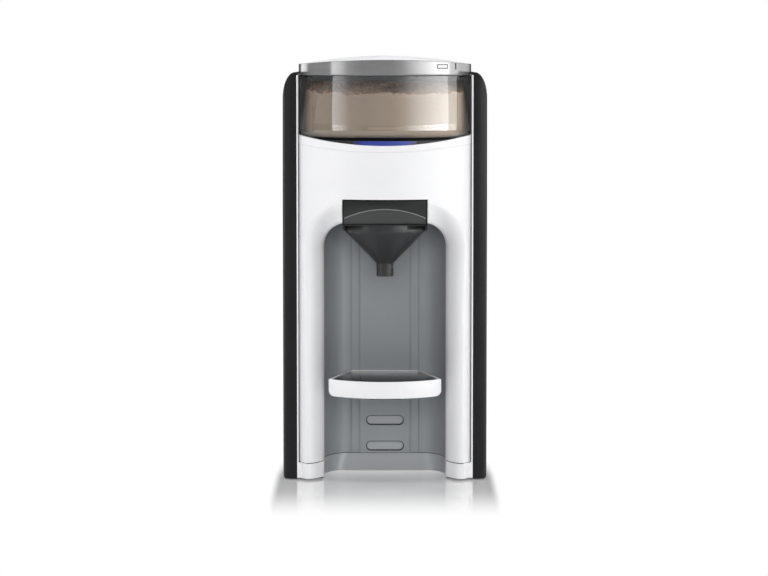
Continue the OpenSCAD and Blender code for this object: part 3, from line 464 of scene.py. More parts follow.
def makeNose():
    grid = noseGrid
    across = [(j / grid.across) ** grid.towardsEdge for j in range(grid.across + 1)]
    archIn, legIn = cad.archR - nose.inwards, cad.bayHalf - nose.inwards
    turnEnd = acos((cad.notchHalf - archSide) / archIn)
    topU = arcOf(cad.notchHalf)
    # Legs: rows from the seam to the arch
    starts = [(legIn, cad.seamZ + s) for s in grid.seamSteps + (grid.legFrom,)]
    starts += [(legIn, cad.seamZ + grid.legFrom + (archLow - cad.seamZ - grid.legFrom) * i
        / grid.legRows) for i in range(1, grid.legRows + 1)]
    ends = [(sideEnd, z) for x, z in starts]

    # Arch corner: lines fan out from the arc to the side, then to the row above the notch
    def addLine(share, end):
        turn = turnEnd * share
        starts.append((archSide + archIn * cos(turn), archLow + archIn * sin(turn)))
        ends.append(end)

    for i in range(1, grid.sideRows + 1):
        addLine(grid.sideShare * i / grid.sideRows,
            (sideEnd, archLow + (cad.notchTop - archLow) * i / grid.sideRows))
    for part in [1 - (1 - i / grid.topRows) ** grid.topSqueeze for i in range(1, grid.topRows + 1)]:
        addLine(grid.sideShare + (1 - grid.sideShare) * part,
            (sideEnd + (topU - sideEnd) * part, cad.notchTop))
    bm = bmesh.new()
    for sign in (-1, 1):
        rows = []
        for (x0, z0), (u1, z1) in zip(starts, ends):
            u0 = arcOf(x0)
            rows.append([nosePoint(sign * (u0 + (u1 - u0) * t), z0 + (z1 - z0) * t)
                for t in across])
        addGrid(bm, rows)
    # Band above the notch, up to the dipped top edge
    half = sorted(set(u for u, z in ends if z == cad.notchTop and u >= topU - 1e-6))
    middle = [topU * (i / grid.bandColumns) for i in range(1 - grid.bandColumns, grid.bandColumns)]
    steps, columns = grid.edgeSteps, []
    for u in [-u for u in reversed(half)] + middle + half:
        top = dipZ(noseCurve(u)[0])
        span = top - cad.notchTop - 2 * steps[-1]
        heights = [cad.notchTop + step for step in steps]
        heights += [cad.notchTop + steps[-1] + span * i / (grid.bandRows + 1)
            for i in range(1, grid.bandRows + 1)]
        heights += [top - step for step in reversed(steps)]
        columns.append([nosePoint(u, z) for z in heights])
    addGrid(bm, list(zip(*columns)))
    bmesh.ops.remove_doubles(bm, verts=bm.verts, dist=grid.weld)
    obj = addObject("noseShell", bm, "whitePlastic", smooth=50)
    if sum(f.normal.y * f.area for f in obj.data.polygons) > 0:
        obj.data.flip_normals()
    thicken(obj, nose.thickness)
    finish(obj, "housing", "white_plastic", "front_shell")


makeNose()
print("stage: nose")


# The corners of the bay are elliptical, cornerDeep from front to back
bay = Settings(panelHalf=25.3, panelRise=2.0, sideHalf=34.0, sideRise=0.9, step=0.7,
    wall=1.6, seamGap=0.35, slotDepth=4.5, slotEdge=0.9, slotRim=1.0, slotFloorEdge=1.2,
    cellHalf=24.0, cellUp=12.85, lift=0.35, cornerDeep=48.0, hoodGap=0.7, ceiling=2.0,
    weld=0.003, floorHalf=21.0, floorNear=0.3, slotReach=4.6)


# The bay's back wall seen from above, with its two raised steps
def backY(x):
    ax = min(abs(x), cad.bayHalf)
    corner = cad.bayHalf - cad.bayCornerR
    y = cad.bayBackY
    if ax > corner:
        part = min(1.0, (ax - corner) / cad.bayCornerR)
        y -= bay.cornerDeep * (1 - sqrt(1 - part * part))
    rise = bay.sideRise * (1 - smoothStep(ax, bay.sideHalf - bay.step, bay.sideHalf))
    rise += (bay.panelRise - bay.sideRise) * (1 - smoothStep(ax,
        bay.panelHalf - bay.step, bay.panelHalf))
    return y - rise


# The bay's foot seen from above, from its right leg to its left: place and outward direction
def footPath(legY=-104, steps=8):
    corner, deep = cad.bayHalf - cad.bayCornerR, bay.cornerDeep
    start = cad.bayBackY - deep
    path = [(cad.bayHalf, legY + (start - legY) * i / steps, 1, 0) for i in range(steps)]
    for a in quarter(32):
        out = Vector((cos(a) / cad.bayCornerR, sin(a) / deep)).normalized()
        path.append((corner + cad.bayCornerR * cos(a), start + deep * sin(a),
            out.x, out.y))
    path += [(corner * (1 - i / 10), cad.bayBackY, 0, 1) for i in range(1, 11)]
    return path + [(-x, y, -outX, outY) for x, y, outX, outY in reversed(path[:-1])]


# Half the width of the arch at a height
def archHalf(z):
    up = z - archLow
    if up <= 0:
        return cad.bayHalf
    return archSide + sqrt(max(0.0, cad.archR ** 2 - up * up))


# Right half of the arch, from the seam up to the middle of the ceiling
def archOutline():
    foot = cad.seamZ + bay.lift
    points = [(cad.bayHalf, foot + (archLow - foot) * i / 50) for i in range(50)]
    points += [(cad.bayHalf - cad.archR * (1 - cos(a)), archLow + cad.archR * sin(a))
        for a in quarter(28)]
    return points + [(archSide * (1 - i / 12), cad.bayTop) for i in range(1, 13)]


# One recessed slot with soft edges, filling its cell of the raised panel
def makeSlot(bm, z):
    halfH = cad.slotSize[1] / 2
    straight = cad.slotSize[0] / 2 - halfH
    faceY = cad.bayBackY - bay.panelRise
    cellDown = min(bay.cellUp, z - cad.seamZ - bay.lift)
    spots = []
    for side in (1, -1):
        spots += [(side * straight, radians(-side * 90 + 7.5 * i)) for i in range(24)]
        spots += [(side * (straight - 2 * straight * i / 20), side * rightAngle)
            for i in range(20)]

    def pill(grow, y):
        return [bm.verts.new((x + (halfH + grow) * cos(a), y, z + (halfH + grow) * sin(a)))
            for x, a in spots]

    outer = []
    for x, a in spots:
        dx, dz = x + halfH * cos(a), halfH * sin(a)
        reach = min(bay.cellHalf / max(abs(dx), 1e-6),
            (bay.cellUp if dz > 0 else cellDown) / max(abs(dz), 1e-6))
        outer.append(bm.verts.new((dx * reach, faceY, z + dz * reach)))
    for sideX in (-bay.cellHalf, bay.cellHalf):
        for cornerZ in (z - cellDown, z + bay.cellUp):
            spot = Vector((sideX, faceY, cornerZ))
            min(outer, key=lambda v: (v.co - spot).length).co = spot
    edge, foot, floor = bay.slotEdge, bay.slotFloorEdge, faceY + bay.slotDepth
    rings = [outer, pill(edge + bay.slotRim, faceY), pill(edge, faceY)]
    rings += [pill(edge * (1 - sin(a)), faceY + edge * (1 - cos(a)))
        for a in quarter(5, first=1)]
    rings += [pill(-foot * (1 - cos(a)), floor - foot + foot * sin(a))
        for a in quarter(3)]
    gridFaces(bm, rings, wrap=True)
    bm.faces.new(rings[-1])


def makeBay():
    bm = bmesh.new()
    outline = archOutline()
    # Side walls and ceiling, from just behind the rolled nose to the back wall
    deep = [0, 0.01, 0.03] + [0.03 + 0.97 * j / 16 for j in range(1, 17)]
    for sign in (-1, 1):
        rows = []
        for x, z in outline:
            y0, y1 = noseY(x) + noseRoll(x, z) + bay.seamGap, backY(x)
            rows.append([(sign * x, y0 + (y1 - y0) * t, z) for t in deep])
        addGrid(bm, rows)
    # Back wall as a height field on columns that squeeze in under the arch
    stepSpots = [half - bay.step + bay.step * i / 6
        for half in (bay.panelHalf, bay.sideHalf) for i in range(7)]
    stops = sorted(set([0, 8, 16, bay.cellHalf, 29, 31] + stepSpots
        + [cad.bayHalf - cad.bayCornerR * (1 - sin(a)) for a in quarter(16)]))
    low, high = cad.seamZ + bay.lift, cad.slotZs[0] + bay.cellUp
    levels = sorted(set([high + (archLow - high) * i / 24 for i in range(25)]
        + [low + (high - low) * i / 12 for i in range(13)]
        + [z for x, z in outline if z > archLow]))
    for sign in (-1, 1):
        rows = []
        for z in levels:
            places = [min(x, archHalf(z)) for x in stops]
            rows.append([bm.verts.new((sign * x, backY(x), z)) for x in places])
        for a, b, za, zb in zip(rows, rows[1:], levels, levels[1:]):
            for i in range(len(stops) - 1):
                if stops[i + 1] <= bay.cellHalf and za >= low and zb <= high + 0.01:
                    continue
                quad = (a[i], a[i + 1], b[i + 1], b[i])
                if (quad[0].co - quad[1].co).length + (quad[2].co - quad[3].co).length > 1e-4:
                    bm.faces.new(quad)
    for z in cad.slotZs:
        makeSlot(bm, z)
    bmesh.ops.remove_doubles(bm, verts=bm.verts, dist=bay.weld)
    # The ceiling is open where the funnel's hood stands in it
    gapHalf, gapBack = cad.notchHalf + bay.hoodGap, cad.hoodBackY + bay.hoodGap
    cutAcross(bm, (-gapHalf, gapHalf))
    cutAcross(bm, (gapBack,), along=(0, 1, 0))
    middles = [(face, face.calc_center_median()) for face in bm.faces]
    bmesh.ops.delete(bm, context="FACES", geom=[face for face, at in middles
        if abs(at.x) < gapHalf and at.y < gapBack and at.z > cad.bayTop - bay.ceiling])
    obj = addObject("bayLining", bm, "greyPlastic", smooth=48, lookAt=(0, -110, 130))
    # Painted light and shade: the slots' floors get a lighter grey than the panel, as if they catch
    # the light, and their walls a dark grey for the shade in them
    floorY = cad.bayBackY - bay.panelRise + bay.slotDepth

    def inSlot(face, reach):
        return (abs(face.center.x) < bay.floorHalf * mm
            and face.center.y > (floorY - reach) * mm)

    paintFaces(obj, "slotPaintedLight", lambda face: inSlot(face, bay.floorNear))
    paintFaces(obj, "slotShade", lambda face: inSlot(face, bay.slotReach)
        and not inSlot(face, bay.floorNear) and abs(face.normal.y) < 0.8)
    thicken(obj, bay.wall, rim=False)
    finish(obj, "housing", "grey_plastic", "bay_liner")


# The bay's foot: a band round the bay from the table up to the seam, sloping by its reach; its
# lighter grey is painted light from the floor
sillSet = Settings(reach=9.0, low=0.4, seamGap=0.15, slope=1.25, edge=0.4, thickness=2.2, rows=14)


def makeSill():
    path = footPath()
    low, high, edge = sillSet.low, cad.seamZ - sillSet.seamGap, sillSet.edge
    foot = sillSet.reach
    profile = [(sillSet.thickness, low), (edge - foot, low), (0.1 - foot, low + 0.1),
        (-foot, low + edge)]
    for i in range(1, sillSet.rows):
        part = i / sillSet.rows
        profile.append((-foot * (1 - part) ** sillSet.slope,
            low + edge + (high - low - 2 * edge) * part))
    profile += [(0, high - edge), (0.12, high - 0.12), (edge, high), (sillSet.thickness, high)]
    rows = []
    for back, z in profile:
        shifts = [back if back > 0 else back * outY ** 3 for x, y, outX, outY in path]
        rows.append([(x + outX * shift, y + outY * shift, z)
            for shift, (x, y, outX, outY) in zip(shifts, path)])
    bm = bmesh.new()
    addGrid(bm, rows)
    obj = addObject("baySill", bm, "sillPaintedLight", smooth=60)
    finish(obj, "housing", "grey_plastic", "bay_sill")


# Painted shade: a dark band behind the seam between the nose and the base, and round the bay's
# foot, that stands for the shadow in the gap
seamShadeSet = Settings(behind=0.3, below=0.2, above=0.5, thickness=0.3, legInwards=0.4, steps=40)


def makeSeamShade():
    bm = bmesh.new()
    back, heights = seamShadeSet.behind, (cad.seamZ - seamShadeSet.below, cad.seamZ + seamShadeSet.above)
    start = arcOf(cad.bayHalf - seamShadeSet.legInwards)
    for sign in (-1, 1):
        path = []
        for i in range(seamShadeSet.steps + 1):
            x, y, outX, outY = noseCurve(start + (sideEnd - start) * i / seamShadeSet.steps)
            path.append((x - outX * back, y - outY * back + noseRoll(x, cad.seamZ)))
        addGrid(bm, [[(sign * x, y, z) for x, y in path] for z in heights])
    addGrid(bm, [[(x + outX * back, y + outY * back, z) for x, y, outX, outY in footPath()]
        for z in heights])
    seam = addObject("seamShadeBand", bm, "edgeBlack", smooth=60)
    thicken(seam, seamShadeSet.thickness, offset=0)
    finish(seam, "housing", "dark_plastic")


makeBay()
makeSill()
makeSeamShade()
print("stage: bay")


axis = (0.0, cad.axisY)
tubSet = Settings(hubGap=2.0, rimEdge=0.7, rimSoft=0.2, footEdge=0.4, steps=240)


def makeTub():
    wall, edge, soft, foot = cad.tubWall, tubSet.rimEdge, tubSet.rimSoft, tubSet.footEdge
    inR, floorR = cad.tubR - wall, cad.wheelR + tubSet.hubGap
    low, top = cad.tubZ, cad.tubTop

    def corner(r, angles):
        return [(cad.tubR - cad.tubEdgeR + r * sin(a), low + cad.tubEdgeR - r * cos(a))
            for a in angles]

    profile = [(floorR + foot, low)] + corner(cad.tubEdgeR, quarter(16))
    profile += [(cad.tubR, top - edge), (cad.tubR - soft, top - soft), (cad.tubR - edge, top),
        (inR + edge, top), (inR + soft, top - soft), (inR, top - edge)]
    profile += corner(cad.tubEdgeR - wall, reversed(quarter(16)))
    profile += [(floorR + foot, low + wall), (floorR, low + wall - foot), (floorR, low + foot)]
    bm = bmesh.new()
    lathe(bm, profile, axis, tubSet.steps)
    obj = addObject("powderTub", bm, "clearTub", smooth=50)
    finish(obj, "container", "clear_tub", "powder_container")


# The powder's top rises from front to back, with lumps and a rough crust
powderSet = Settings(outerR=80.4, holeR=74.0, holeTop=373.0, holeRound=4.0, front=375.2, back=382.5,
    slopeFrom=-80, slopeTo=60, lump=2.6, lumpScale=0.035, rough=2.0, roughScale=0.16,
    rim=0.9, rimScale=0.5, rimFrom=74.0, rimOver=6.0, cover=0.7, edgeDrop=0.8, wallGap=0.25,
    steps=300)


def powderTop(x, y):
    p, r = powderSet, hypot(x, y - cad.axisY)
    z = p.front + (p.back - p.front) * smoothStep(y - cad.axisY, p.slopeFrom, p.slopeTo)

    def spot(scale, seed):
        return Vector((x * scale, y * scale, seed))

    z += p.lump * noise.noise(spot(p.lumpScale, 3.1))
    z += p.rough * noise.fractal(spot(p.roughScale, 7.7), 1.0, 2.1, 4)
    if r > p.rimFrom:
        z += p.rim * noise.noise(spot(p.rimScale, 1.3)) * (r - p.rimFrom) / p.rimOver
    return max(z, p.holeTop + p.cover)


# Loose powder round the stirrer's sweep: a crusty top over a hollow that the arms clear
def makePowder():
    bm = bmesh.new()
    p, wall = powderSet, cad.tubWall
    rows = []

    # Adds a ring of vertices whose height is a number or depends on the place
    def ring(r, height):
        row = []
        for k in range(p.steps):
            a = 2 * pi * k / p.steps
            x, y = r * cos(a), cad.axisY + r * sin(a)
            row.append(bm.verts.new((x, y, height(x, y) if callable(height) else height)))
        rows.append(row)

    def edgeTop(x, y):
        return powderTop(x, y) - p.edgeDrop

    for r in [0.5, 1.2] + [2.0 + 72 * i / 60 for i in range(61)] + [75.5, 77, 78.3, 79.4, 80.0]:
        ring(r, powderTop)
    ring(p.outerR, edgeTop)
    # Down the tub's wall, round its lower corner and back up the hollow
    low, cornerR = cad.tubZ + cad.tubEdgeR, cad.tubEdgeR - wall - p.wallGap
    for part in [i / 14 for i in range(1, 15)]:
        ring(p.outerR, lambda x, y: edgeTop(x, y) * (1 - part) + low * part)
    for a in reversed(quarter(9)[1:-1]):
        ring(cad.tubR - cad.tubEdgeR + cornerR * sin(a), low - cornerR * cos(a))
    ring(p.holeR - 1.0, cad.tubZ + wall + 0.5)
    foot, shoulder = cad.tubZ + wall + 1.5, p.holeTop - p.holeRound
    for i in range(9):
        ring(p.holeR, foot + (shoulder - foot) * i / 8)
    for a in quarter(5, first=1):
        ring(p.holeR - p.holeRound * (1 - cos(a)), lambda x, y: min(
            shoulder + p.holeRound * sin(a), powderTop(x, y) - 1.0))
    ring(40, p.holeTop)
    ring(0.5, p.holeTop)
    gridFaces(bm, rows, wrap=True)
    bm.faces.new(rows[0])
    bm.faces.new(rows[-1])
    obj = addObject("formulaPowder", bm, "powder", smooth=70)
    paintFaces(obj, "powderCrust", lambda face: face.normal.z > 0.35 and face.center.z > 0.36)
    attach(obj, "container")


lid = Settings(bandWall=1.6, capGap=1.65, capInR=78.3, capR=80.3, capDrop=5.8, capLip=0.8,
    capTopWall=2.4, domeRows=26, gasketInR=80.8, gasketR=82.2, gasketLow=0.3, gasketUp=1.0,
    steps=240)


# The band's top edge stands higher at its front and back than at its sides
def crownLift(x):
    r = rollR(cad.lidR, cad.lidCrown)
    return cad.lidCrown - r + sqrt(r * r - min(abs(x), cad.lidR) ** 2)


def makeBand():
    z0, z1, r, inR = cad.lidZ, cad.lidTop, cad.lidR, cad.lidR - lid.bandWall
    bm = bmesh.new()
    lathe(bm, roundProfile([(r, z0), (r, z1), (inR, z1), (inR, z0)], [0.45, 0.6, 0.25, 0.3], 4),
        axis, lid.steps)
    for v in bm.verts:
        v.co.z += crownLift(v.co.x) * max(0.0, (v.co.z - z0) / (z1 - z0))
    finish(addObject("lidBand", bm, "silverTrim"), "lid", "silver_trim", "lid_trim")


def makeCap():
    z0, z1, foot, ledge = cad.lidZ, cad.lidTop, cad.lidZ - lid.capDrop, lid.capLip
    capR, top = cad.lidR - lid.capGap, cad.lidTop + cad.lidDome
    domeR = (capR ** 2 + cad.lidDome ** 2) / (2 * cad.lidDome)
    inTop = z1 - lid.capTopWall
    profile = [(lid.capInR, foot), (lid.capR - 0.2, foot), (lid.capR, foot + 0.2),
        (lid.capR, z0 + ledge), (capR - 0.4, z0 + ledge), (capR, z0 + ledge + 0.4),
        (capR, z1 - 0.5)]
    for i in range(lid.domeRows):
        r = capR * (1 - i / lid.domeRows)
        profile.append((r, top - domeR + sqrt(domeR ** 2 - r ** 2)))
    profile += [(0.0, top), (0.0, inTop), (lid.capInR - 1.3, inTop),
        (lid.capInR - 0.3, inTop - 0.4), (lid.capInR, inTop - 1.2)]
    bm = bmesh.new()
    lathe(bm, profile, axis, lid.steps)
    cap = addObject("lidCap", bm, "whitePlastic")
    paintFaces(cap, "darkPlastic", lambda face: face.center.z < (z0 + ledge + 0.1) * mm)
    finish(cap, "lid", "white_plastic", "lid_cap")


def makeGasket():
    low, high = cad.lidZ - lid.gasketLow, cad.lidZ + lid.gasketUp
    bm = bmesh.new()
    lathe(bm, roundProfile([(lid.gasketR, low), (lid.gasketR, high),
        (lid.gasketInR, high), (lid.gasketInR, low)], [0.3] * 4, 3), axis, 200)
    finish(addObject("lidGasket", bm, "silicone"), "lid_seal", "silicone", "lid_gasket")


# Marks on the lid's band: angles from its front, heights, and the line's width where hollow
markSet = dict(
    lidMark=dict(turns=(0.635, 0.795), heights=(399.4, 403.6), line=0.8),
    lidTick=dict(turns=(0.93, 0.95), heights=(398.6, 405.0), line=None),
)
markProud, markSunk, markSteps = 0.15, 0.1, 6


def makeMark(name, turns, heights, line):
    bm = bmesh.new()

    def slab(a0, a1, z0, z1):
        front, back = [[[bm.verts.new((r * sin(a), cad.axisY - r * cos(a), z))
            for a in [a0 + (a1 - a0) * i / markSteps for i in range(markSteps + 1)]]
            for z in (z0, z1)] for r in (cad.lidR + markProud, cad.lidR - markSunk)]
        gridFaces(bm, [front[0], front[1], back[1], back[0], front[0]])
        bm.faces.new((front[0][0], front[1][0], back[1][0], back[0][0]))
        bm.faces.new((front[0][-1], back[0][-1], back[1][-1], front[1][-1]))

    a0, a1 = turns
    z0, z1 = heights
    if line:
        da = line / cad.lidR
        slab(a0, a1, z0, z0 + line)
        slab(a0, a1, z1 - line, z1)
        slab(a0, a0 + da, z0 + line, z1 - line)
        slab(a1 - da, a1, z0 + line, z1 - line)
    else:
        slab(a0, a1, z0, z1)
    finish(addObject(name, bm, "edgeBlack"), "lid", "dark_plastic")


makeTub()
makePowder()
makeBand()
makeCap()
makeGasket()
for name, mark in markSet.items():
    makeMark(name, **mark)
print("stage: container")


# Cuts for the legs' roll, then how the legs' inner faces move in, and the tray's corners
legSet = Settings(cuts=(0.05, 0.4, 1.0, 1.8, 3.0, 4.5, 6.5, 9.0, 12.0, 15.8), back=-100,
    over=4.0)
traySet = Settings(cornerR=5.0, steps=8, front=-130, back=-60, skirt=1.0)


# The base's two legs get the same roll as the nose above them
def rollLegs(bm):
    cutAcross(bm, [sign * (cad.bayHalf + s) for s in legSet.cuts for sign in (-1, 1)])
    for v in bm.verts:
        x = abs(v.co.x)
        if v.co.y < legSet.back and x > cad.bayHalf - 0.01:
            v.co.y += noseRoll(x, 0)
            v.co.x -= copysign(nose.inwards, v.co.x) * smoothStep(-x,
                -cad.bayHalf - legSet.over, -cad.bayHalf)


# Keeps a piece behind the rolled edge and within a half width
def behind(y, half=200.0):
    def reshape(bm):
        for v in bm.verts:
            v.co.y = max(v.co.y, y)
            v.co.x = max(-half, min(half, v.co.x))
    return reshape


# Rounds the tray's lower corners, as seen from the front
def roundTray(bm):
    half, r = max(v.co.x for v in bm.verts), traySet.cornerR
    low = min(v.co.z for v in bm.verts if v.co.y < traySet.front)
    cutAcross(bm, [sign * (half - r + r * sin(a))
        for a in quarter(traySet.steps)[1:-1] for sign in (-1, 1)])
    for v in bm.verts:
        past = min(r, abs(v.co.x) - (half - r))
        if past > 0 and v.co.y < traySet.back and v.co.z < low + traySet.skirt:
            v.co.z += r - sqrt(max(0.0, r * r - past * past))


white, dark = ("white_plastic", "whitePlastic"), ("dark_plastic", "darkPlastic")
panel, gloss = ("black_panel", "blackPanel"), ("black_gloss", "blackGloss")

# node: body, slot, material, edge width and change of shape, for nodes with softened edges
softPieces = {
    "base_tray": ("housing", *white, 0.5, rollLegs),
    "mid_housing": ("housing", *white, 0.5),
    "rear_housing": ("housing", *white, 0.9),
    "collar_ring": ("housing", *white, 0.35),
    "light_bar": ("housing", "blue_light", "blueLight", 0.2),
    "side_panel_left": ("housing", *panel, 0.8),
    "side_panel_right": ("housing", *panel, 0.8),
    "control_fascia": ("housing", *gloss, 0.5),
    "display_module": ("housing", "display", "displayGlass", 0.3),
    "funnel_rails": ("housing", "dark_plastic", "smokeHood", 0.2, behind(-120, 41.0)),
    "funnel_bay": ("housing", *dark, 0.2, behind(-134)),
    "funnel_hood": ("funnel", "smoke_funnel", "smokeHood", 0.3),
    "tray_body": ("tray", *white, 0.5, roundTray),
    "tray_plate": ("tray", *gloss, 0.3),
    "water_tank": ("tank", "clear_tub", "clearTank", 0.7),
    "tank_lid": ("tank_lid", "smoke_funnel", "darkPlastic", 0.7),
    "container_base": ("container", *dark, 0.4),
}
for i in range(1, 7):
    softPieces[f"button_{i}"] = (f"button_{i}_body", "button_grey", "buttonGrey", 0.6)

for node, (body, slotName, material, width, *reshape) in softPieces.items():
    words = node.replace("fascia", "plate").split("_")
    name = words[0] + "".join(word.capitalize() for word in words[1:])
    finish(softened(node, name, material, width, *reshape), body, slotName)


# The well round the container is dark
def inWell(face):
    reach = hypot(face.center.x, face.center.y - cad.axisY * mm)
    return (reach < (cad.tubR + 1.2) * mm and face.center.z > cad.tubZ * mm
        and abs(face.normal.z) < 0.3)


paintFaces(bpy.data.objects["midHousing"], "darkPlastic", inWell)
print("stage: housings")


funnelSet = Settings(rimLow=242.5, coneLow=211.5, wall=1.8, bottom=0.6, holeInside=0.3, steps=160,
    flangeSteps=120, skirt=5.0, skirtWall=1.6, skirtEdge=0.25,
    rounds=(0.5, 3.0, 3.0, 0.3, 0.3, 2.5, 3.5, 0.5))


def makeFunnel():
    f, top = funnelSet, cad.flangeZ + cad.flange
    bm = bmesh.new()
    inR, spoutIn = cad.funnelR - f.wall, cad.spoutR - f.wall
    lathe(bm, roundProfile([(cad.spoutR, cad.funnelEnd), (cad.spoutR, f.coneLow),
        (cad.funnelR, f.rimLow), (cad.funnelR, top), (inR, top), (inR, f.rimLow + f.bottom),
        (spoutIn, f.coneLow + f.bottom), (spoutIn, cad.funnelEnd)], f.rounds, 6),
        (0, cad.funnelY), f.steps)
    # Flange round the rim, with a straight skirt at each side
    spots = [2 * pi * k / f.flangeSteps for k in range(f.flangeSteps)]
    x1, y0, y1 = cad.hoodHalf, cad.hoodFrontY - cad.funnelY, cad.hoodBackY - cad.funnelY
    outline = []
    for a in spots:
        dx, dy = cos(a), sin(a)
        reach = min(x1 / max(abs(dx), 1e-9), (y1 if dy > 0 else -y0) / max(abs(dy), 1e-9))
        outline.append([dx * reach, dy * reach])
    for x in (-x1, x1):
        for y in (y0, y1):
            min(outline, key=lambda p: hypot(p[0] - x, p[1] - y))[:] = [x, y]
    holeR = cad.funnelR - f.holeInside
    hole = [(holeR * cos(a), holeR * sin(a)) for a in spots]
    rings = [[bm.verts.new((x, cad.funnelY + y, z)) for x, y in line] for line, z in (
        (hole, cad.flangeZ), (outline, cad.flangeZ), (outline, top), (hole, top))]
    gridFaces(bm, rings + rings[:1], wrap=True)
    for sign in (-1, 1):
        made = bmesh.ops.create_cube(bm, size=1)["verts"]
        for v in made:
            v.co = Vector((sign * (cad.hoodHalf - f.skirtWall / 2) + v.co.x * f.skirtWall,
                (cad.hoodFrontY + cad.hoodBackY) / 2 + v.co.y * (cad.hoodBackY - cad.hoodFrontY),
                cad.flangeZ - f.skirt / 2 + 0.5 + v.co.z * (f.skirt + 1)))
        edges = list({e for v in made for e in v.link_edges})
        bmesh.ops.bevel(bm, geom=edges, offset=f.skirtEdge, segments=2, profile=0.5,
            affect="EDGES")
    obj = addObject("mixingFunnel", bm, "smokeFunnel")
    finish(obj, "funnel", "smoke_funnel", "mixing_funnel")


# The hood's arched window: a thin smoky pane, and a fine light grey bead along its upper edge that
# is a painted highlight
windowSet = Settings(sideGap=1.6, topGap=9.0, sag=8.5, overArc=0.6, back=1.0, wall=0.7,
    beadR=0.45, steps=40)


def makeWindow():
    w, half, top = windowSet, cad.hoodHalf - windowSet.sideGap, cad.hoodTop - windowSet.topGap
    r, low = rollR(half, w.sag), cad.flangeZ + cad.flange
    xs = [half * (i / w.steps) for i in range(-w.steps, w.steps + 1)]
    arc = [(x, top - r + sqrt(r * r - x * x)) for x in xs]
    bm = bmesh.new()
    for y in (cad.hoodFrontY + w.back, cad.hoodFrontY + w.back + w.wall):
        addGrid(bm, [[(x, y, low) for x in xs], [(x, y, z + w.overArc) for x, z in arc]])
    finish(addObject("hoodPane", bm, "smokePane"), "funnel", "smoke_funnel")
    bm = bmesh.new()
    sides = [(cos(pi * k / 4) * w.beadR, sin(pi * k / 4) * w.beadR)
        for k in range(8)]
    addGrid(bm, [[(x, cad.hoodFrontY + dy, z + dz) for dy, dz in sides] for x, z in arc],
        wrap=True)
    # The bead's light grey is a painted highlight
    bead = addObject("hoodBead", bm, "paintedHighlightGrey", smooth=60)
    finish(bead, "funnel", "smoke_funnel")


# Black edging round the hood's front and along the flange, wider at the flange's right end
edgingSet = Settings(half=0.45, flat=0.8, front=-0.15, back=0.2, inset=0.35, foot=3.5, flangeUp=1.2,
    endWider=1.41)


def makeEdging():
    e = edgingSet
    side, high = cad.hoodHalf - e.inset, cad.hoodTop - e.inset
    foot, flange = cad.flangeZ - e.foot, cad.flangeZ + e.flangeUp
    bm = bmesh.new()
    # The points of each strip, and the direction across it
    for strip in ([(-side, foot, -1, 0), (-side, high, -1, 1), (side, high, 1, 1),
            (side, foot, 1, 0)], [(-side, flange, 0, 1), (side, flange, 0, e.endWider)]):
        addGrid(bm, [[(x + outX * e.half * share, cad.hoodFrontY + dy, z + outZ * e.half * share)
            for share, dy in ((-1, e.back), (-e.flat, e.front), (e.flat, e.front), (1, e.back))]
            for x, z, outX, outZ in strip])
    edging = addObject("hoodEdging", bm, "edgeBlack", smooth=60)
    finish(edging, "funnel", "smoke_funnel")


makeFunnel()
makeWindow()
makeEdging()
print("stage: funnel")

# CAD nodes whose shape is right keep it and get a finish
finishes = {
    "darkPlastic": "container_seat powder_chute nozzle_ring tank_socket",
    "steel": "gear_motor idler_pin drive_spindle heater base_screws valve_spring",
    "brass": "motor_pinion spindle_bush wheel_bush",
    "palePlastic": "idler_gear spindle_gear stirrer tank_valve",
    "silicone": "nozzle_hose heater_hose inlet_hose",
    "rubber": "cord_gland rubber_feet tank_o_ring",
    "board": "main_board power_board",
    "alloy": "chassis_plate",
    "pumpBody": "pump",
    "tanPlastic": "powder_gate",
    "bluePlastic": "dosing_wheel",
}
for material, nodes in finishes.items():
    for node in nodes.split():
        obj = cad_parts[node]
        if obj.material_slots:
            for holder in obj.material_slots:
                holder.material = mats[material]
        else:
            obj.data.materials.append(mats[material])
print("stage: finishes")


# The studio's sizes are in metres and its angles in degrees
cameraSet = Settings(lens=138.2, pitch=4.47, place=(0.0, -2.960, 0.410), shift=-0.0012)


def makeCamera():
    data = bpy.data.cameras.new("photoCamera")
    data.lens, data.sensor_width, data.sensor_fit = cameraSet.lens, 36, "HORIZONTAL"
    data.clip_start, data.clip_end = 0.05, 50
    data.shift_x = cameraSet.shift
    camera = newObject("photoCamera", data)
    camera.location = cameraSet.place
    camera.rotation_euler = (radians(90 - cameraSet.pitch), 0, 0)
    bpy.context.scene.camera = camera


# name, direction seen from above (degrees from the camera, + is right), distance, height,
# height of its aim, width and height of the panel, power; none of them shows in reflections
banks = [
    ("keyFront", 0, 3.0, 0.8, 0.25, (1.7, 1.1), 42),
    ("rightBank", 95, 1.7, 0.6, 0.6, (1.2, 1.5), 13),
    ("leftBank", -95, 1.7, 0.6, 0.6, (1.2, 1.5), 15),
    ("backBank", 180, 1.8, 1.0, 0.25, (1.4, 1.2), 7),
    ("topBank", 0, 0.1, 2.0, 0.25, (1.4, 1.2), 20),
]


def makeLamp(name, turn, far, height, aim, size, power):
    data = bpy.data.lights.new(name, "AREA")
    data.shape, data.size, data.size_y = "RECTANGLE", size[0], size[1]
    data.energy = power
    lamp = newObject(name, data)
    a = radians(turn)
    lamp.location = (far * sin(a), -far * cos(a), height)
    lamp.rotation_euler = (Vector((0, -0.05, aim)) - lamp.location).to_track_quat(
        "-Z", "Y").to_euler()
    lamp.visible_glossy = lamp.visible_transmission = False


# Is 1 for the camera and for rays that come by metal, gloss or clear plastic
def seenDirect(tree):
    path = addNode(tree, "LightPath")
    total, output = path, "Is Camera Ray"
    for kind in ("Is Glossy Ray", "Is Transmission Ray"):
        add = addNode(tree, "Math", operation="ADD", use_clamp=True)
        join(total, output, add, 0)
        join(path, kind, add, 1)
        total, output = add, "Value"
    return total


worldSet = Settings(colour=(0.97, 0.98, 1.0, 1), strength=0.24)


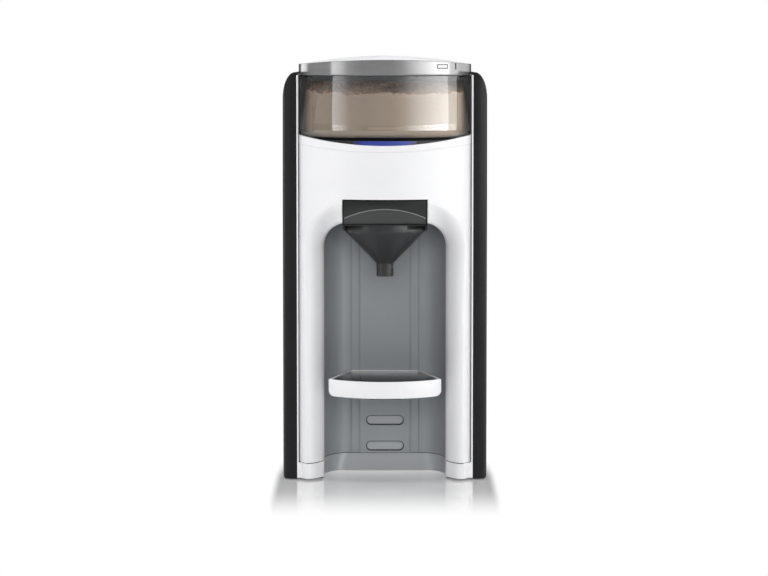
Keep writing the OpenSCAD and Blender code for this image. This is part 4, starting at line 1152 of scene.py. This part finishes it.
def makeWorld():
    world = bpy.data.worlds.new("studio")
    bpy.context.scene.world = world
    world.use_nodes = True
    tree = world.node_tree
    dome = tree.nodes["Background"]
    dome.inputs["Color"].default_value = worldSet.colour
    dome.inputs["Strength"].default_value = worldSet.strength
    seen = addNode(tree, "Background", {"Color": (1, 1, 1, 1), "Strength": 1.0})
    choose = addNode(tree, "MixShader")
    join(seenDirect(tree), "Value", choose, "Fac")
    join(dome, "Background", choose, 1)
    join(seen, "Background", choose, 2)
    join(choose, "Shader", tree.nodes["World Output"], "Surface")


# The floor's gloss and shadow stay near the machine, inside a rounded box round its foot
floorSet = Settings(middleY=0.145, halfSize=(0.1, 0.02, 0), squeeze=(20, 1, 0), reach=0.19,
    least=0.1, size=6, cells=40)


# Glossy white table; for the camera it turns white further out
def floorMaterial():
    tree = surface("floorGloss", (0.8, 0.8, 0.8), 0.07, vary=0.004, scale=3, grain=40,
        bump=0.0, roughSpread=0.015, shine=0.9)
    last = addNode(tree, "NewGeometry")
    for operation, value in (("ADD", (0, floorSet.middleY, 0)), ("ABSOLUTE", None),
            ("SUBTRACT", floorSet.halfSize), ("MAXIMUM", (0, 0, 0)),
            ("MULTIPLY", floorSet.squeeze), ("LENGTH", None)):
        step = addNode(tree, "VectorMath", {1: value} if value else {}, operation=operation)
        join(last, 0, step, 0)
        last = step
    fade = addNode(tree, "MapRange", {"From Min": 0.0, "From Max": floorSet.reach,
        "To Min": floorSet.least, "To Max": 1.0}, interpolation_type="SMOOTHSTEP")
    join(last, "Value", fade, "Value")
    seen = addNode(tree, "Math", operation="MULTIPLY")
    join(fade, "Result", seen, 0)
    join(seenDirect(tree), "Value", seen, 1)
    choose = addNode(tree, "MixShader")
    join(seen, "Value", choose, "Fac")
    join(tree.nodes["Principled BSDF"], "BSDF", choose, 1)
    join(addNode(tree, "Emission"), "Emission", choose, 2)
    join(choose, "Shader", tree.nodes["Material Output"], "Surface")


def makeFloor():
    floorMaterial()
    bm = bmesh.new()
    cells = floorSet.cells
    bmesh.ops.create_grid(bm, x_segments=cells, y_segments=cells, size=floorSet.size)
    linkMesh("floorSheet", bm, "floorGloss")


# What glossy surfaces see round the machine: degrees from the camera and brightness
cardSteps = [(-150, 0.0), (-144, 0.28), (-126, 0.28), (-122, 0.03), (-73.2, 0.04),
    (-72, 0.58), (-59, 0.39), (-47, 0.1), (-30, 0.03), (10, 0.03), (23, 0.13), (33, 0.33),
    (45, 0.58), (56, 0.79), (69, 0.99), (91, 1.0), (92.5, 0.45), (118, 0.22), (135, 0.15),
    (147, 0.08), (156, 0.0)]
cardSet = Settings(radius=2.0, low=0.1, high=1.5, strength=10.6, steps=120)


# Upright ring of bright and dark cards that only glossy and clear surfaces see
def makeCards():
    tree = newMaterial("studioCards")
    turn = addNode(tree, "Mapping", {"Rotation": (0, 0, rightAngle)})
    radial = addNode(tree, "TexGradient", gradient_type="RADIAL")
    ramp = addNode(tree, "ValToRGB")
    stops = ramp.color_ramp.elements
    while len(stops) < len(cardSteps):
        stops.new(0.5)
    for stop, (angle, level) in zip(stops, cardSteps):
        stop.position, stop.color = angle / 360 + 0.5, (level, level, level, 1)
    glow = addNode(tree, "Emission", {"Strength": cardSet.strength})
    join(addNode(tree, "TexCoord"), "Object", turn, "Vector")
    join(turn, "Vector", radial, "Vector")
    join(radial, "Color", ramp, "Fac")
    join(ramp, "Color", glow, "Color")
    join(glow, "Emission", tree.nodes["Material Output"], "Surface")
    bm = bmesh.new()
    r, turns = cardSet.radius, [2 * pi * k / cardSet.steps
        for k in range(cardSet.steps)]
    addGrid(bm, [[(r * cos(a), r * sin(a), z) for a in turns]
        for z in (cardSet.low, cardSet.high)], wrap=True)
    cards = linkMesh("studioCards", bm, "studioCards")
    cards.visible_camera = cards.visible_diffuse = cards.visible_shadow = False


makeCamera()
for bank in banks:
    makeLamp(*bank)
makeCards()
makeWorld()
makeFloor()
bpy.context.scene.view_settings.view_transform = "Standard"

print("stage: studio")
